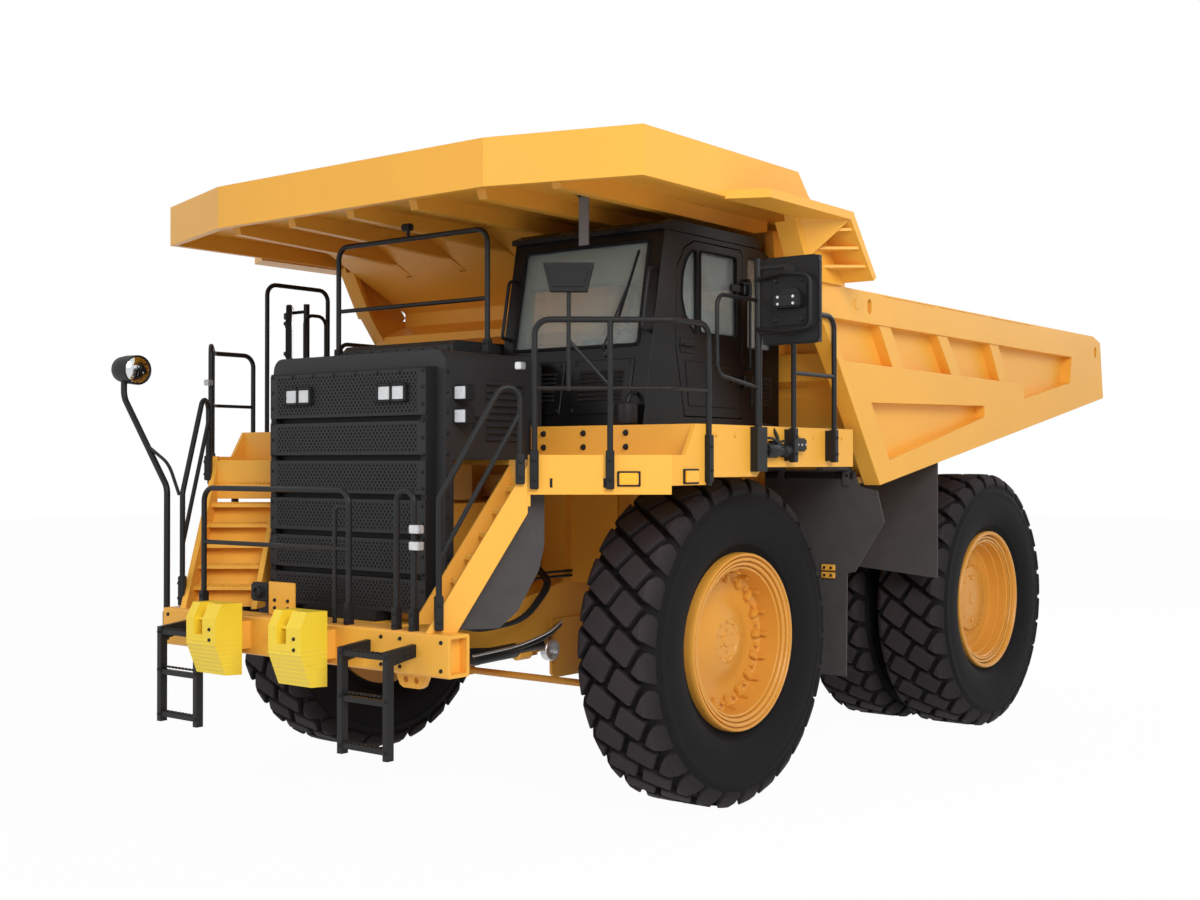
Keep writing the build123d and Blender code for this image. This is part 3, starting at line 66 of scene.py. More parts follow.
scene = bpy.context.scene
scene.view_settings.view_transform = "Standard"
camera_yaw, camera_pitch = radians(36.05), radians(0.404)
camera_data = bpy.data.cameras.new("studio_camera")
camera_data.sensor_width = 36.0
camera_data.lens = 42.685
camera_data.shift_x = -0.0756
camera_data.shift_y = 0.0021
camera_data.clip_end = 200.0
camera = bpy.data.objects.new("studio_camera", camera_data)
looking = Vector((-sin(camera_yaw) * cos(camera_pitch), cos(camera_yaw) * cos(camera_pitch),
                  sin(camera_pitch)))
camera.rotation_mode = "QUATERNION"
camera.rotation_quaternion = looking.to_track_quat("-Z", "Y")
camera.location = at(8.9357, -9.6667, 2.8088)
scene.collection.objects.link(camera)
scene.camera = camera


class Wire:
    """A shader socket that Python expressions can use: each operator adds its Math node."""

    def __init__(self, finish, socket):
        self.finish = finish
        self.socket = socket

    def __add__(self, other):
        return self.finish.math("ADD", self, other)

    __radd__ = __add__

    def __sub__(self, other):
        return self.finish.math("SUBTRACT", self, other)

    def __rsub__(self, other):
        return self.finish.math("SUBTRACT", other, self)

    def __mul__(self, other):
        return self.finish.math("MULTIPLY", self, other)

    __rmul__ = __mul__

    def __truediv__(self, other):
        return self.finish.math("DIVIDE", self, other)


class Finish:
    """The node tree of one material, or of the world."""

    def __init__(self, name, world=False):
        self.data = bpy.data.worlds.new(name) if world else bpy.data.materials.new(name)
        self.data.use_nodes = True
        self.tree = self.data.node_tree
        self.tree.nodes.clear()
        self.end = self.tree.nodes.new("ShaderNodeOutputWorld" if world else "ShaderNodeOutputMaterial")

    def add(self, kind, settings=None, sockets=None, out=0):
        """A node of any kind: its settings first, then the values or links of its sockets."""
        node = self.tree.nodes.new(kind)
        for key, value in (settings or {}).items():
            setattr(node, key, value)
        for key, value in (sockets or {}).items():
            if isinstance(value, Wire):
                self.tree.links.new(value.socket, node.inputs[key])
            else:
                node.inputs[key].default_value = value
        return Wire(self, node.outputs[out])

    def math(self, operation, first, second=0.0, clamp=False):
        return self.add("ShaderNodeMath", {"operation": operation, "use_clamp": clamp}, {0: first, 1: second})

    def mix(self, first, second, share):
        return self.add("ShaderNodeMix", {"data_type": "RGBA", "clamp_factor": True},
                        {0: share, 6: first, 7: second}, 2)

    def place(self):
        return self.add("ShaderNodeTexCoord", out="Object")

    def noise(self, where, scale, detail=2.0, rough=0.5):
        return self.add("ShaderNodeTexNoise", None,
                        {"Vector": where, "Scale": scale, "Detail": detail, "Roughness": rough})

    def done(self, shader):
        self.tree.links.new(shader.socket, self.end.inputs["Surface"])
        return self.data


def seen(finish):
    """1 for rays that show the surroundings directly, in a mirror or through glass."""
    rays = finish.add("ShaderNodeLightPath")
    node = rays.socket.node
    shown = Wire(finish, node.outputs["Is Camera Ray"])
    for name in ("Is Glossy Ray", "Is Transmission Ray"):
        shown = finish.math("MAXIMUM", shown, Wire(finish, node.outputs[name]))
    return shown


sky = Finish("studio_sky", world=True)
ambient = sky.add("ShaderNodeBackground", None, {"Color": (1.0, 1.0, 1.0, 1.0), "Strength": 0.40})
white = sky.add("ShaderNodeBackground", None, {"Color": (1.0, 1.0, 1.0, 1.0), "Strength": 1.0})
scene.world = sky.done(sky.add("ShaderNodeMixShader", None, {0: seen(sky), 1: ambient, 2: white}))

sweep = Finish("studio_sweep")
paper = sweep.add("ShaderNodeBsdfDiffuse", None, {"Color": (0.9, 0.9, 0.9, 1.0)})
glow = sweep.add("ShaderNodeEmission", None, {"Color": (1.0, 1.0, 1.0, 1.0), "Strength": 1.0})
floor_mesh = bpy.data.meshes.new("studio_floor")
reach = 60.0
floor_mesh.from_pydata([(-reach, -reach, 0), (reach, -reach, 0), (reach, reach, 0), (-reach, reach, 0)], [],
                       [(0, 1, 2, 3)])
floor_mesh.materials.append(sweep.done(sweep.add("ShaderNodeMixShader", None,
                                                 {0: seen(sweep) * 0.97, 1: paper, 2: glow})))
studio_floor = bpy.data.objects.new("studio_floor", floor_mesh)
studio_floor.location.z = -0.002
scene.collection.objects.link(studio_floor)

for name, place, size, power in (("key_light", at(15.0, -9.5, 11.0), 9.0, 2350.0),
                                 ("front_light", at(-3.0, -16.0, 6.0), 8.0, 420.0),
                                 ("rear_light", at(4.0, 16.0, 10.0), 9.0, 700.0)):
    lamp_data = bpy.data.lights.new(name, "AREA")
    lamp_data.size = size
    lamp_data.energy = power
    lamp = bpy.data.objects.new(name, lamp_data)
    lamp.location = place
    lamp.rotation_mode = "QUATERNION"
    lamp.rotation_quaternion = (at(0, 2.0, 2.2) - place).to_track_quat("-Z", "Y")
    scene.collection.objects.link(lamp)


# Frame and running gear
# Welded box rails and tanks under the decks, sprayed in warm yellow enamel. The castings below them get a
# darker copy of that yellow as painted shade. The welded edges are softened and road dust settles on what is
# low.
def enamel(name, colour, rough, dust_share=0.12, soft_edge=0.006, shine=0.34):
    """Sprayed enamel: faint cloudiness, orange peel, soft edges and a little dust low down."""
    paint = Finish(name)
    where = paint.place()
    cloud = paint.noise(where, 0.8, 4.0, 0.6)
    grit = paint.noise(where, 34.0, 5.0, 0.65)
    height = paint.add("ShaderNodeSeparateXYZ", None, {"Vector": where}, "Z")
    low_down = paint.math("MULTIPLY", 1.0 - height / 2.2, grit, clamp=True)
    deep = [part * 0.90 for part in colour[:3]] + [1.0]
    pale = [min(1.0, part * 1.05) for part in colour[:3]] + [1.0]
    shade = paint.mix(deep, pale, cloud)
    dusty = paint.mix(shade, linear(160, 140, 110), low_down * dust_share)
    edge = paint.add("ShaderNodeBevel", {"samples": 4}, {"Radius": soft_edge})
    peel = paint.add("ShaderNodeBump", None, {"Strength": 0.05, "Distance": 0.002,
                                              "Height": paint.noise(where, 150.0, 2.0), "Normal": edge})
    body = paint.add("ShaderNodeBsdfPrincipled", None,
                     {"Base Color": dusty, "Roughness": rough + 0.14 * (grit - 0.5) + 0.15 * low_down,
                      "Normal": peel, "Specular IOR Level": shine})
    return paint.done(body)


yellow = enamel("warm_yellow_enamel", linear(240, 175, 66), 0.40)
# A darker copy of the warm yellow enamel, given to the parts under the frame as painted shade.
shaded_running_gear_yellow = enamel("yellow_enamel_painted_shade", linear(208, 144, 52), 0.46, 0.22)


def coat(material, *names):
    """Give CAD pieces a finish."""
    for name in names:
        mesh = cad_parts[name].data
        mesh.materials.clear()
        mesh.materials.append(material)


coat(yellow, "frame", "tanks", "front_bumper")
# The running gear under the frame takes the darker yellow: painted shade.
coat(shaded_running_gear_yellow, "rear_axle", "struts", "engine", "driveline", "knuckle_left", "knuckle_right",
     "steering_lever", "tie_rod_left", "tie_rod_right")


# Tyres
# Off-road radials: a charcoal casing with a smooth sidewall, and a deep tread of slanted blocks in two rows
# with cut corners at the shoulders, moulded in one with the casing. The tops are scuffed paler; the block
# sides darken down into the grooves as painted shade.
def rubber(name, dark, light, wear_and_groove_shade=None):
    mould = Finish(name)
    where = mould.place()
    scuff = mould.noise(where, 5.0, 6.0, 0.72)
    grain = mould.noise(where, 240.0, 2.0)
    tone = mould.mix(dark, light, scuff)
    if wear_and_groove_shade:
        # Paler at the scuffed block tops, darker down the block sides into the grooves: wear at the tops,
        # painted shade below.
        top = mould.add("ShaderNodeAttribute", {"attribute_name": "wear_and_groove_shade"}, out="Fac")
        tone = mould.mix(tone, wear_and_groove_shade, top * (0.35 + 0.65 * scuff))
    bump = mould.add("ShaderNodeBump", None, {"Strength": 0.3, "Distance": 0.003,
                                              "Height": grain + 2.0 * scuff})
    return mould.done(mould.add("ShaderNodeBsdfPrincipled", None,
                                {"Base Color": tone, "Roughness": 0.66 + 0.24 * scuff, "Normal": bump,
                                 "Specular IOR Level": 0.14}))


tyre_rubber = rubber("tyre_rubber", linear(10, 9, 10), linear(28, 26, 27), linear(62, 56, 59))
tyre_radius, tread_half, tread_depth, pitches = 1.343, 0.400, 0.062, 28
tyre_pitch = 2 * pi * tyre_radius / pitches
groove_half = 0.018
tyre_half_width = 0.376
shoulder_start, shoulder_width = 0.28, 0.12


def spun(name, profile, centre, material, steps=96):
    """Surface of revolution about an axle along X, from (x, radius) points."""
    mesh = bpy.data.meshes.new(name)
    points, faces = [], []
    count = len(profile)
    for k in range(steps):
        turn = 2 * pi * k / steps
        points += [(centre.x + x, centre.y + r * cos(turn), centre.z + r * sin(turn)) for x, r in profile]
    for k in range(steps):
        here, there = k * count, ((k + 1) % steps) * count
        faces += [(here + i, there + i, there + i + 1, here + i + 1) for i in range(count - 1)]
    mesh.from_pydata(points, [], faces)
    shape = bmesh.new()
    shape.from_mesh(mesh)
    bmesh.ops.remove_doubles(shape, verts=shape.verts, dist=0.0004)
    bmesh.ops.recalc_face_normals(shape, faces=shape.faces)
    for face in shape.faces:
        face.smooth = True
    for line in shape.edges:
        if line.is_manifold and line.calc_face_angle() > 0.6:
            line.smooth = False
    shape.to_mesh(mesh)
    shape.free()
    mesh.materials.append(material)
    piece = bpy.data.objects.new(name, mesh)
    scene.collection.objects.link(piece)
    return piece


def shrunk(outline, gap):
    """A convex outline with each edge moved inwards."""
    moved = []
    count = len(outline)
    for i in range(count):
        a, b, c = Vector(outline[i - 1]), Vector(outline[i]), Vector(outline[(i + 1) % count])
        first, second = (b - a).normalized(), (c - b).normalized()
        n1, n2 = Vector((-first.y, first.x)), Vector((-second.y, second.x))
        moved.append(b + (n1 + n2) * (gap / (1 + n1.dot(n2))))
    return moved


def trimmed(outline, side):
    """A convex outline cut off at one edge of the tread."""
    kept = []
    for i, here in enumerate(outline):
        before = outline[i - 1]
        inside, was = side * here[0] <= tread_half, side * before[0] <= tread_half
        if inside != was:
            share = (side * tread_half - before[0]) / (here[0] - before[0])
            kept.append((side * tread_half, before[1] + share * (here[1] - before[1])))
        if inside:
            kept.append(here)
    return kept


def tread_blocks():
    """One pitch of the tread: two slanted main blocks and the cut shoulder blocks beside them."""
    lean, cross = tan(radians(34)), tan(radians(57))
    half_cross = tyre_pitch / 2 / (lean + cross)
    splits = (-0.50, -0.240, 0.0, 0.240, 0.50)
    shape = bmesh.new()
    for left, right in zip(splits, splits[1:]):
        lower = [(w - half_cross, -lean * (w - half_cross)) for w in (left, right)]
        upper = [(w + half_cross, tyre_pitch - lean * (w + half_cross)) for w in (right, left)]
        outline = trimmed(trimmed(lower + upper, 1), -1)
        if len(outline) < 3:
            continue
        outline = shrunk(outline, groove_half)
        eased = []
        for i, corner in enumerate(outline):
            before, after = outline[i - 1] - corner, outline[(i + 1) % len(outline)] - corner
            ease = min(0.020, before.length * 0.3, after.length * 0.3)
            eased += [corner + before.normalized() * ease, corner + after.normalized() * ease]
        base = [shape.verts.new((p[0], p[1], 0)) for p in eased]
        top = [shape.verts.new((p[0], p[1], tread_depth)) for p in shrunk(eased, 0.009)]
        lid = shape.faces.new(top)
        for i in range(len(base)):
            j = (i + 1) % len(base)
            shape.faces.new((base[i], base[j], top[j], top[i]))
        bmesh.ops.bevel(shape, geom=list(lid.edges), offset=0.008, segments=1, affect="EDGES")
    for k in range(-3, 8):
        every = list(shape.verts) + list(shape.edges) + list(shape.faces)
        bmesh.ops.bisect_plane(shape, geom=every, plane_co=(0, k * tyre_pitch / 4, 0), plane_no=(0, 1, 0))
    for across in (-0.36, -0.32, -0.28, 0.28, 0.32, 0.36):
        every = list(shape.verts) + list(shape.edges) + list(shape.faces)
        bmesh.ops.bisect_plane(shape, geom=every, plane_co=(across, 0, 0), plane_no=(1, 0, 0))
    wear_and_groove_shade = shape.verts.layers.float.new("wear_and_groove_shade")
    for vert in shape.verts:
        across, along, up = vert.co
        turn = along / tyre_radius
        over = max(0.0, abs(across) - shoulder_start) / shoulder_width
        tilt, stand = radians(62) * over, up * (1.0 - 0.62 * over)
        width = (min(abs(across), shoulder_start) + shoulder_width * over * (1.0 - 0.40 * over)
                 + stand * sin(tilt))
        crown = 0.10 * max(0.0, abs(across) - 0.20) ** 1.3
        radius = tyre_radius - tread_depth + stand * cos(tilt) - crown - 0.095 * over ** 1.4
        vert.co = (width if across > 0 else -width, -radius * cos(turn), radius * sin(turn))
        # Scuffed tops, less at the shoulders, fading to none halfway down the block sides: wear above,
        # painted shade into the grooves.
        vert[wear_and_groove_shade] = min(1.0, max(0.0, up / tread_depth * 2.0 - 1.0)) * (1.0 - 0.8 * min(1.0, over))
    bmesh.ops.recalc_face_normals(shape, faces=shape.faces)
    mesh = bpy.data.meshes.new("tread_pitch")
    shape.to_mesh(mesh)
    shape.free()
    return mesh


def rule(name, inputs):
    """An empty Geometry Nodes tree with named inputs: the tree, its two ends and the inputs' identifiers."""
    tree = bpy.data.node_groups.new(name, "GeometryNodeTree")
    tree.interface.new_socket("Geometry", in_out="INPUT", socket_type="NodeSocketGeometry")
    tree.interface.new_socket("Geometry", in_out="OUTPUT", socket_type="NodeSocketGeometry")
    keys = {}
    for label, kind in inputs:
        keys[label] = tree.interface.new_socket(label, in_out="INPUT", socket_type=kind).identifier
    return tree, tree.nodes.new("NodeGroupInput"), tree.nodes.new("NodeGroupOutput"), keys


def grown(name, source, tree, values):
    """The plain mesh that a Geometry Nodes tree makes from an object, as a piece of its own."""
    host = bpy.data.objects.new(name, source)
    scene.collection.objects.link(host)
    modifier = host.modifiers.new("rule", "NODES")
    modifier.node_group = tree
    for key, value in values.items():
        modifier[key] = value
    bpy.context.view_layer.update()
    mesh = bpy.data.meshes.new_from_object(host.evaluated_get(bpy.context.evaluated_depsgraph_get()))
    host.modifiers.remove(modifier)
    host.data = mesh
    return host


wreath, wreath_in, wreath_out, wreath_keys = rule(
    "round_the_axle", [("Stamp", "NodeSocketObject"), ("Count", "NodeSocketInt"),
                       ("Finish", "NodeSocketMaterial"), ("Centre", "NodeSocketVector")])
wreath_points = wreath.nodes.new("GeometryNodePoints")
wreath_index = wreath.nodes.new("GeometryNodeInputIndex")
wreath_share = wreath.nodes.new("ShaderNodeMath")
wreath_share.operation = "DIVIDE"
wreath_turn = wreath.nodes.new("ShaderNodeMath")
wreath_turn.operation = "MULTIPLY"
wreath_turn.inputs[1].default_value = 2 * pi
wreath_angle = wreath.nodes.new("ShaderNodeCombineXYZ")
wreath_stamp = wreath.nodes.new("GeometryNodeObjectInfo")
wreath_place = wreath.nodes.new("GeometryNodeInstanceOnPoints")
wreath_real = wreath.nodes.new("GeometryNodeRealizeInstances")
wreath_coat = wreath.nodes.new("GeometryNodeSetMaterial")
for giver, taker in ((wreath_in.outputs["Count"], wreath_points.inputs["Count"]),
                     (wreath_in.outputs["Centre"], wreath_points.inputs["Position"]),
                     (wreath_index.outputs[0], wreath_share.inputs[0]),
                     (wreath_in.outputs["Count"], wreath_share.inputs[1]),
                     (wreath_share.outputs[0], wreath_turn.inputs[0]),
                     (wreath_turn.outputs[0], wreath_angle.inputs["X"]),
                     (wreath_in.outputs["Stamp"], wreath_stamp.inputs["Object"]),
                     (wreath_points.outputs[0], wreath_place.inputs["Points"]),
                     (wreath_stamp.outputs["Geometry"], wreath_place.inputs["Instance"]),
                     (wreath_angle.outputs[0], wreath_place.inputs["Rotation"]),
                     (wreath_place.outputs[0], wreath_real.inputs[0]),
                     (wreath_real.outputs[0], wreath_coat.inputs["Geometry"]),
                     (wreath_in.outputs["Finish"], wreath_coat.inputs["Material"]),
                     (wreath_coat.outputs[0], wreath_out.inputs[0])):
    wreath.links.new(giver, taker)


def round_axle(name, stamp_mesh, count, centre, material):
    """Copies of a stamp, made about the X axis through the origin, all round an axle."""
    stamp = bpy.data.objects.new(name + "_stamp", stamp_mesh)
    scene.collection.objects.link(stamp)
    piece = grown(name, bpy.data.meshes.new(name), wreath,
                  {wreath_keys["Stamp"]: stamp, wreath_keys["Count"]: count, wreath_keys["Finish"]: material,
                   wreath_keys["Centre"]: tuple(centre)})
    bpy.data.objects.remove(stamp)
    return piece


def joined(name, *pieces):
    """Several meshes as one piece."""
    whole = bmesh.new()
    materials = []
    for piece in pieces:
        shift = []
        for material in piece.data.materials:
            if material not in materials:
                materials.append(material)
            shift.append(materials.index(material))
        first = len(whole.faces)
        whole.from_mesh(piece.data)
        whole.faces.ensure_lookup_table()
        for face in whole.faces[first:]:
            face.material_index = shift[face.material_index] if shift else 0
        bpy.data.objects.remove(piece)
    mesh = bpy.data.meshes.new(name)
    whole.to_mesh(mesh)
    whole.free()
    for material in materials:
        mesh.materials.append(material)
    result = bpy.data.objects.new(name, mesh)
    scene.collection.objects.link(result)
    return result


casing = [(0.262, 0.632), (0.264, 0.735), (0.275, 0.755), (0.300, 0.790), (0.318, 0.802), (0.322, 0.812),
          (0.336, 0.835), (0.356, 0.890), (0.369, 0.955), (0.375, 1.020), (0.374, 1.080), (0.369, 1.130),
          (0.372, 1.138), (0.370, 1.150), (0.362, 1.165), (0.352, 1.205), (0.344, 1.238), (0.330, 1.262),
          (0.300, 1.276), (0.200, 1.284), (0.0, 1.284)]
casing = casing + [(-x, r) for x, r in reversed(casing[:-1])] + [casing[0]]
pitch_mesh = tread_blocks()


def tyre(name, centre):
    return [spun(name + "_casing", casing, centre, tyre_rubber),
            round_axle(name + "_tread", pitch_mesh, pitches, centre, tyre_rubber)]


for side, sign in (("left", 1), ("right", -1)):
    low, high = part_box("front_tyre_" + side)
    front_tyre = joined("tyre_front_" + side, *tyre("front", (low + high) / 2))
    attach(front_tyre, "wheel_front_" + side)
    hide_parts("front_tyre_" + side)
    low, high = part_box("rear_tyres_" + side)
    middle = (low + high) / 2
    half_apart = Vector(((high.x - low.x) / 2 - tyre_half_width, 0, 0))
    rear_pair = joined("tyres_rear_" + side, *tyre("rear_a", middle - half_apart),
                       *tyre("rear_b", middle + half_apart))
    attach(rear_pair, "wheels_rear_" + side)
    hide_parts("rear_tyres_" + side)


# Rims
# Five-piece steel rims, pressed and welded, sprayed a deeper yellow. The front disc is clamped to the
# hub by a ring of cast lugs under a cover plate; the rear hub carries a ring of small bolts.
rim_yellow = enamel("rim_yellow_enamel", linear(218, 152, 58), 0.30, 0.10, 0.002)


class Fitting:
    """Small parts that are made and fixed together, as one piece with several finishes."""

    def __init__(self, name):
        self.name = name
        self.shape = bmesh.new()
        self.finishes = []

    def take(self, finish, part):
        """Add a finished mesh."""
        if finish not in self.finishes:
            self.finishes.append(finish)
        first = len(self.shape.faces)
        self.shape.from_mesh(part)
        self.shape.faces.ensure_lookup_table()
        for face in self.shape.faces[first:]:
            face.material_index = self.finishes.index(finish)
        bpy.data.meshes.remove(part)

    def form(self, finish, part):
        """Add a drawn form with its faces turned outwards."""
        bmesh.ops.remove_doubles(part, verts=part.verts, dist=0.00005)
        bmesh.ops.recalc_face_normals(part, faces=part.faces)
        mesh = bpy.data.meshes.new("form")
        part.to_mesh(mesh)
        part.free()
        self.take(finish, mesh)

    def plate(self, finish, outline, along, soft=0.004):
        """A flat outline carried along a vector, with softened edges."""
        part = bmesh.new()
        base = part.faces.new([part.verts.new(point) for point in outline])
        moved = bmesh.ops.extrude_face_region(part, geom=[base])["geom"]
        bmesh.ops.translate(part, vec=along, verts=[item for item in moved
                                                    if isinstance(item, bmesh.types.BMVert)])
        bmesh.ops.recalc_face_normals(part, faces=part.faces)
        if soft:
            bmesh.ops.bevel(part, geom=list(part.edges), offset=soft, segments=2, affect="EDGES",
                            clamp_overlap=True)
        self.form(finish, part)

    def block(self, finish, low, high, soft=0.004):
        """A squared block between two corners."""
        (x0, y0, z0), (x1, y1, z1) = low, high
        self.plate(finish, [(x0, y0, z0), (x1, y0, z0), (x1, y1, z0), (x0, y1, z0)], (0, 0, z1 - z0), soft)

    def bar(self, finish, points, radius, bend=0.0, sides=14):
        """A round bar along points, bent round at its corners."""
        path = [Vector(points[0])]
        for before, corner, after in zip(points, points[1:], points[2:]):
            corner = Vector(corner)
            back, ahead = Vector(before) - corner, Vector(after) - corner
            reach = min(bend, back.length * 0.45, ahead.length * 0.45)
            first, last = corner + back.normalized() * reach, corner + ahead.normalized() * reach
            path += [first * (1 - s) ** 2 + corner * 2 * s * (1 - s) + last * s * s
                     for s in (0, 0.2, 0.4, 0.6, 0.8, 1)]
        path.append(Vector(points[-1]))
        part = bmesh.new()
        side = (path[1] - path[0]).orthogonal().normalized()
        rings = []
        for i, here in enumerate(path):
            ahead = (path[min(i + 1, len(path) - 1)] - path[max(i - 1, 0)]).normalized()
            side = (side - ahead * side.dot(ahead)).normalized()
            other = ahead.cross(side)
            turns = [2 * pi * k / sides for k in range(sides)]
            rings.append([part.verts.new(here + (side * cos(t) + other * sin(t)) * radius) for t in turns])
        for here, there in zip(rings, rings[1:]):
            for k in range(sides):
                part.faces.new((here[k], here[(k + 1) % sides], there[(k + 1) % sides], there[k]))
        part.faces.new(rings[0])
        part.faces.new(rings[-1])
        self.form(finish, part)

    def turned(self, finish, start, along, profile, sides=24):
        """A turned part: (distance, radius) points about a line, starting and ending on it."""
        axis = Vector(along).normalized()
        side = axis.orthogonal().normalized()
        other = axis.cross(side)
        part = bmesh.new()
        rings = []
        for distance, radius in profile:
            turns = [2 * pi * k / sides for k in range(sides)]
            rings.append([part.verts.new(Vector(start) + axis * distance
                                         + (side * cos(t) + other * sin(t)) * radius) for t in turns])
        for here, there in zip(rings, rings[1:]):
            for k in range(sides):
                part.faces.new((here[k], here[(k + 1) % sides], there[(k + 1) % sides], there[k]))
        bmesh.ops.dissolve_degenerate(part, dist=0.00005, edges=part.edges)
        self.form(finish, part)

    def stamped(self, finish, places, facing, stamp):
        """Copies of a small stamp, drawn along +Z, at places on a face."""
        points = bpy.data.meshes.new("places")
        points.from_pydata([tuple(place) for place in places], [], [])
        pattern = bpy.data.objects.new("pattern", stamp)
        scene.collection.objects.link(pattern)
        turn = Vector(facing).to_track_quat("Z", "Y").to_euler()
        piece = grown("stamped", points, pinned, {pinned_keys["Stamp"]: pattern,
                                                  pinned_keys["Turn"]: tuple(turn),
                                                  pinned_keys["Finish"]: finish})
        bpy.data.objects.remove(pattern)
        mesh = piece.data
        bpy.data.objects.remove(piece)
        self.take(finish, mesh)

    def fixed(self, body, slot, *nodes):
        """Hand the finished piece to a body, in the place of CAD nodes where they are named."""
        for face in self.shape.faces:
            face.smooth = True
        for line in self.shape.edges:
            if line.is_manifold and line.calc_face_angle() > 0.62:
                line.smooth = False
        mesh = bpy.data.meshes.new(self.name)
        self.shape.to_mesh(mesh)
        self.shape.free()
        for finish in self.finishes:
            mesh.materials.append(finish)
        piece = bpy.data.objects.new(self.name, mesh)
        scene.collection.objects.link(piece)
        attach(piece, body)
        if nodes:
            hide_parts(*nodes)
        return piece


pinned, pinned_in, pinned_out, pinned_keys = rule(
    "at_places", [("Stamp", "NodeSocketObject"), ("Turn", "NodeSocketVector"),
                  ("Finish", "NodeSocketMaterial")])
pinned_stamp = pinned.nodes.new("GeometryNodeObjectInfo")
pinned_place = pinned.nodes.new("GeometryNodeInstanceOnPoints")
pinned_real = pinned.nodes.new("GeometryNodeRealizeInstances")
pinned_coat = pinned.nodes.new("GeometryNodeSetMaterial")
for giver, taker in ((pinned_in.outputs["Geometry"], pinned_place.inputs["Points"]),
                     (pinned_in.outputs["Stamp"], pinned_stamp.inputs["Object"]),
                     (pinned_stamp.outputs["Geometry"], pinned_place.inputs["Instance"]),
                     (pinned_in.outputs["Turn"], pinned_place.inputs["Rotation"]),
                     (pinned_place.outputs[0], pinned_real.inputs[0]),
                     (pinned_real.outputs[0], pinned_coat.inputs["Geometry"]),
                     (pinned_in.outputs["Finish"], pinned_coat.inputs["Material"]),
                     (pinned_coat.outputs[0], pinned_out.inputs[0])):
    pinned.links.new(giver, taker)


def bolt_head(size):
    """A hexagon head on its washer, standing on z = 0."""
    shape = bmesh.new()
    bmesh.ops.create_cone(shape, cap_ends=True, segments=14, radius1=size, radius2=size * 0.94,
                          depth=size * 0.3, matrix=Matrix.Translation((0, 0, size * 0.1)))
    bmesh.ops.create_cone(shape, cap_ends=True, segments=6, radius1=size * 0.78, radius2=size * 0.70,
                          depth=size * 0.6, matrix=Matrix.Translation((0, 0, size * 0.5)))
    mesh = bpy.data.meshes.new("bolt_head")
    shape.to_mesh(mesh)
    shape.free()
    return mesh


def ring_places(centre, radius, count, sign, shift=0.0):
    """Places on a circle about an axle, at a distance outwards from the wheel's middle."""
    return [centre + Vector((sign * shift, radius * cos(2 * pi * (k + 0.5) / count),
                             radius * sin(2 * pi * (k + 0.5) / count))) for k in range(count)]


rim_bolt, hub_bolt = bolt_head(0.020), bolt_head(0.013)
front_wheel_x, rear_wheel_x, wheelbase = 2.098, 2.231, 4.56
rim_lugs = 18
front_face = [(0.180, 0.0), (0.180, 0.050), (0.168, 0.056), (0.168, 0.140), (0.176, 0.146), (0.178, 0.176),
              (0.170, 0.186), (0.162, 0.215), (0.146, 0.262), (0.120, 0.318), (0.097, 0.372),
              (0.091, 0.430), (0.090, 0.505), (0.098, 0.548), (0.118, 0.576), (0.170, 0.584),
              (0.240, 0.588), (0.292, 0.594), (0.298, 0.600), (0.298, 0.612), (0.284, 0.614),
              (0.284, 0.621), (0.316, 0.623), (0.324, 0.630), (0.326, 0.648), (0.308, 0.651),
              (0.308, 0.659), (0.336, 0.661), (0.344, 0.668), (0.344, 0.686), (0.322, 0.689),
              (0.322, 0.697), (0.344, 0.699), (0.354, 0.707), (0.352, 0.719), (0.338, 0.728),
              (0.310, 0.730), (0.285, 0.730), (0.263, 0.729)]
front_back = [(0.262, 0.622), (-0.262, 0.622), (-0.262, 0.715), (-0.300, 0.715), (-0.300, 0.590),
              (0.030, 0.560), (0.030, 0.345), (-0.200, 0.330), (-0.200, 0.1803), (0.060, 0.1803),
              (0.060, 0.0)]
rear_face = [(0.104, 0.0), (0.104, 0.10), (0.100, 0.325), (0.092, 0.338), (0.066, 0.345), (0.060, 0.360),
             (0.060, 0.430), (0.052, 0.500), (0.046, 0.545), (0.056, 0.566), (0.100, 0.576), (0.150, 0.582),
             (0.156, 0.598), (0.236, 0.604), (0.244, 0.612), (0.246, 0.634), (0.234, 0.637), (0.234, 0.645),
             (0.262, 0.648), (0.272, 0.656), (0.274, 0.674), (0.262, 0.677), (0.262, 0.685), (0.300, 0.688),
             (0.314, 0.698), (0.314, 0.718), (0.300, 0.729), (0.263, 0.729)]
rear_back = [(0.262, 0.622), (-0.262, 0.622), (-0.262, 0.715), (-0.300, 0.715), (-0.300, 0.590),
             (-0.080, 0.560), (-0.080, 0.480), (-0.750, 0.480), (-0.750, 0.560), (-0.590, 0.590),
             (-0.590, 0.715), (-0.628, 0.715), (-0.628, 0.622), (-1.152, 0.622), (-1.152, 0.715),
             (-1.190, 0.715), (-1.190, 0.590), (-0.830, 0.560), (-0.830, 0.480), (-1.210, 0.480),
             (-1.210, 0.2303), (-0.220, 0.2303), (-0.220, 0.0)]
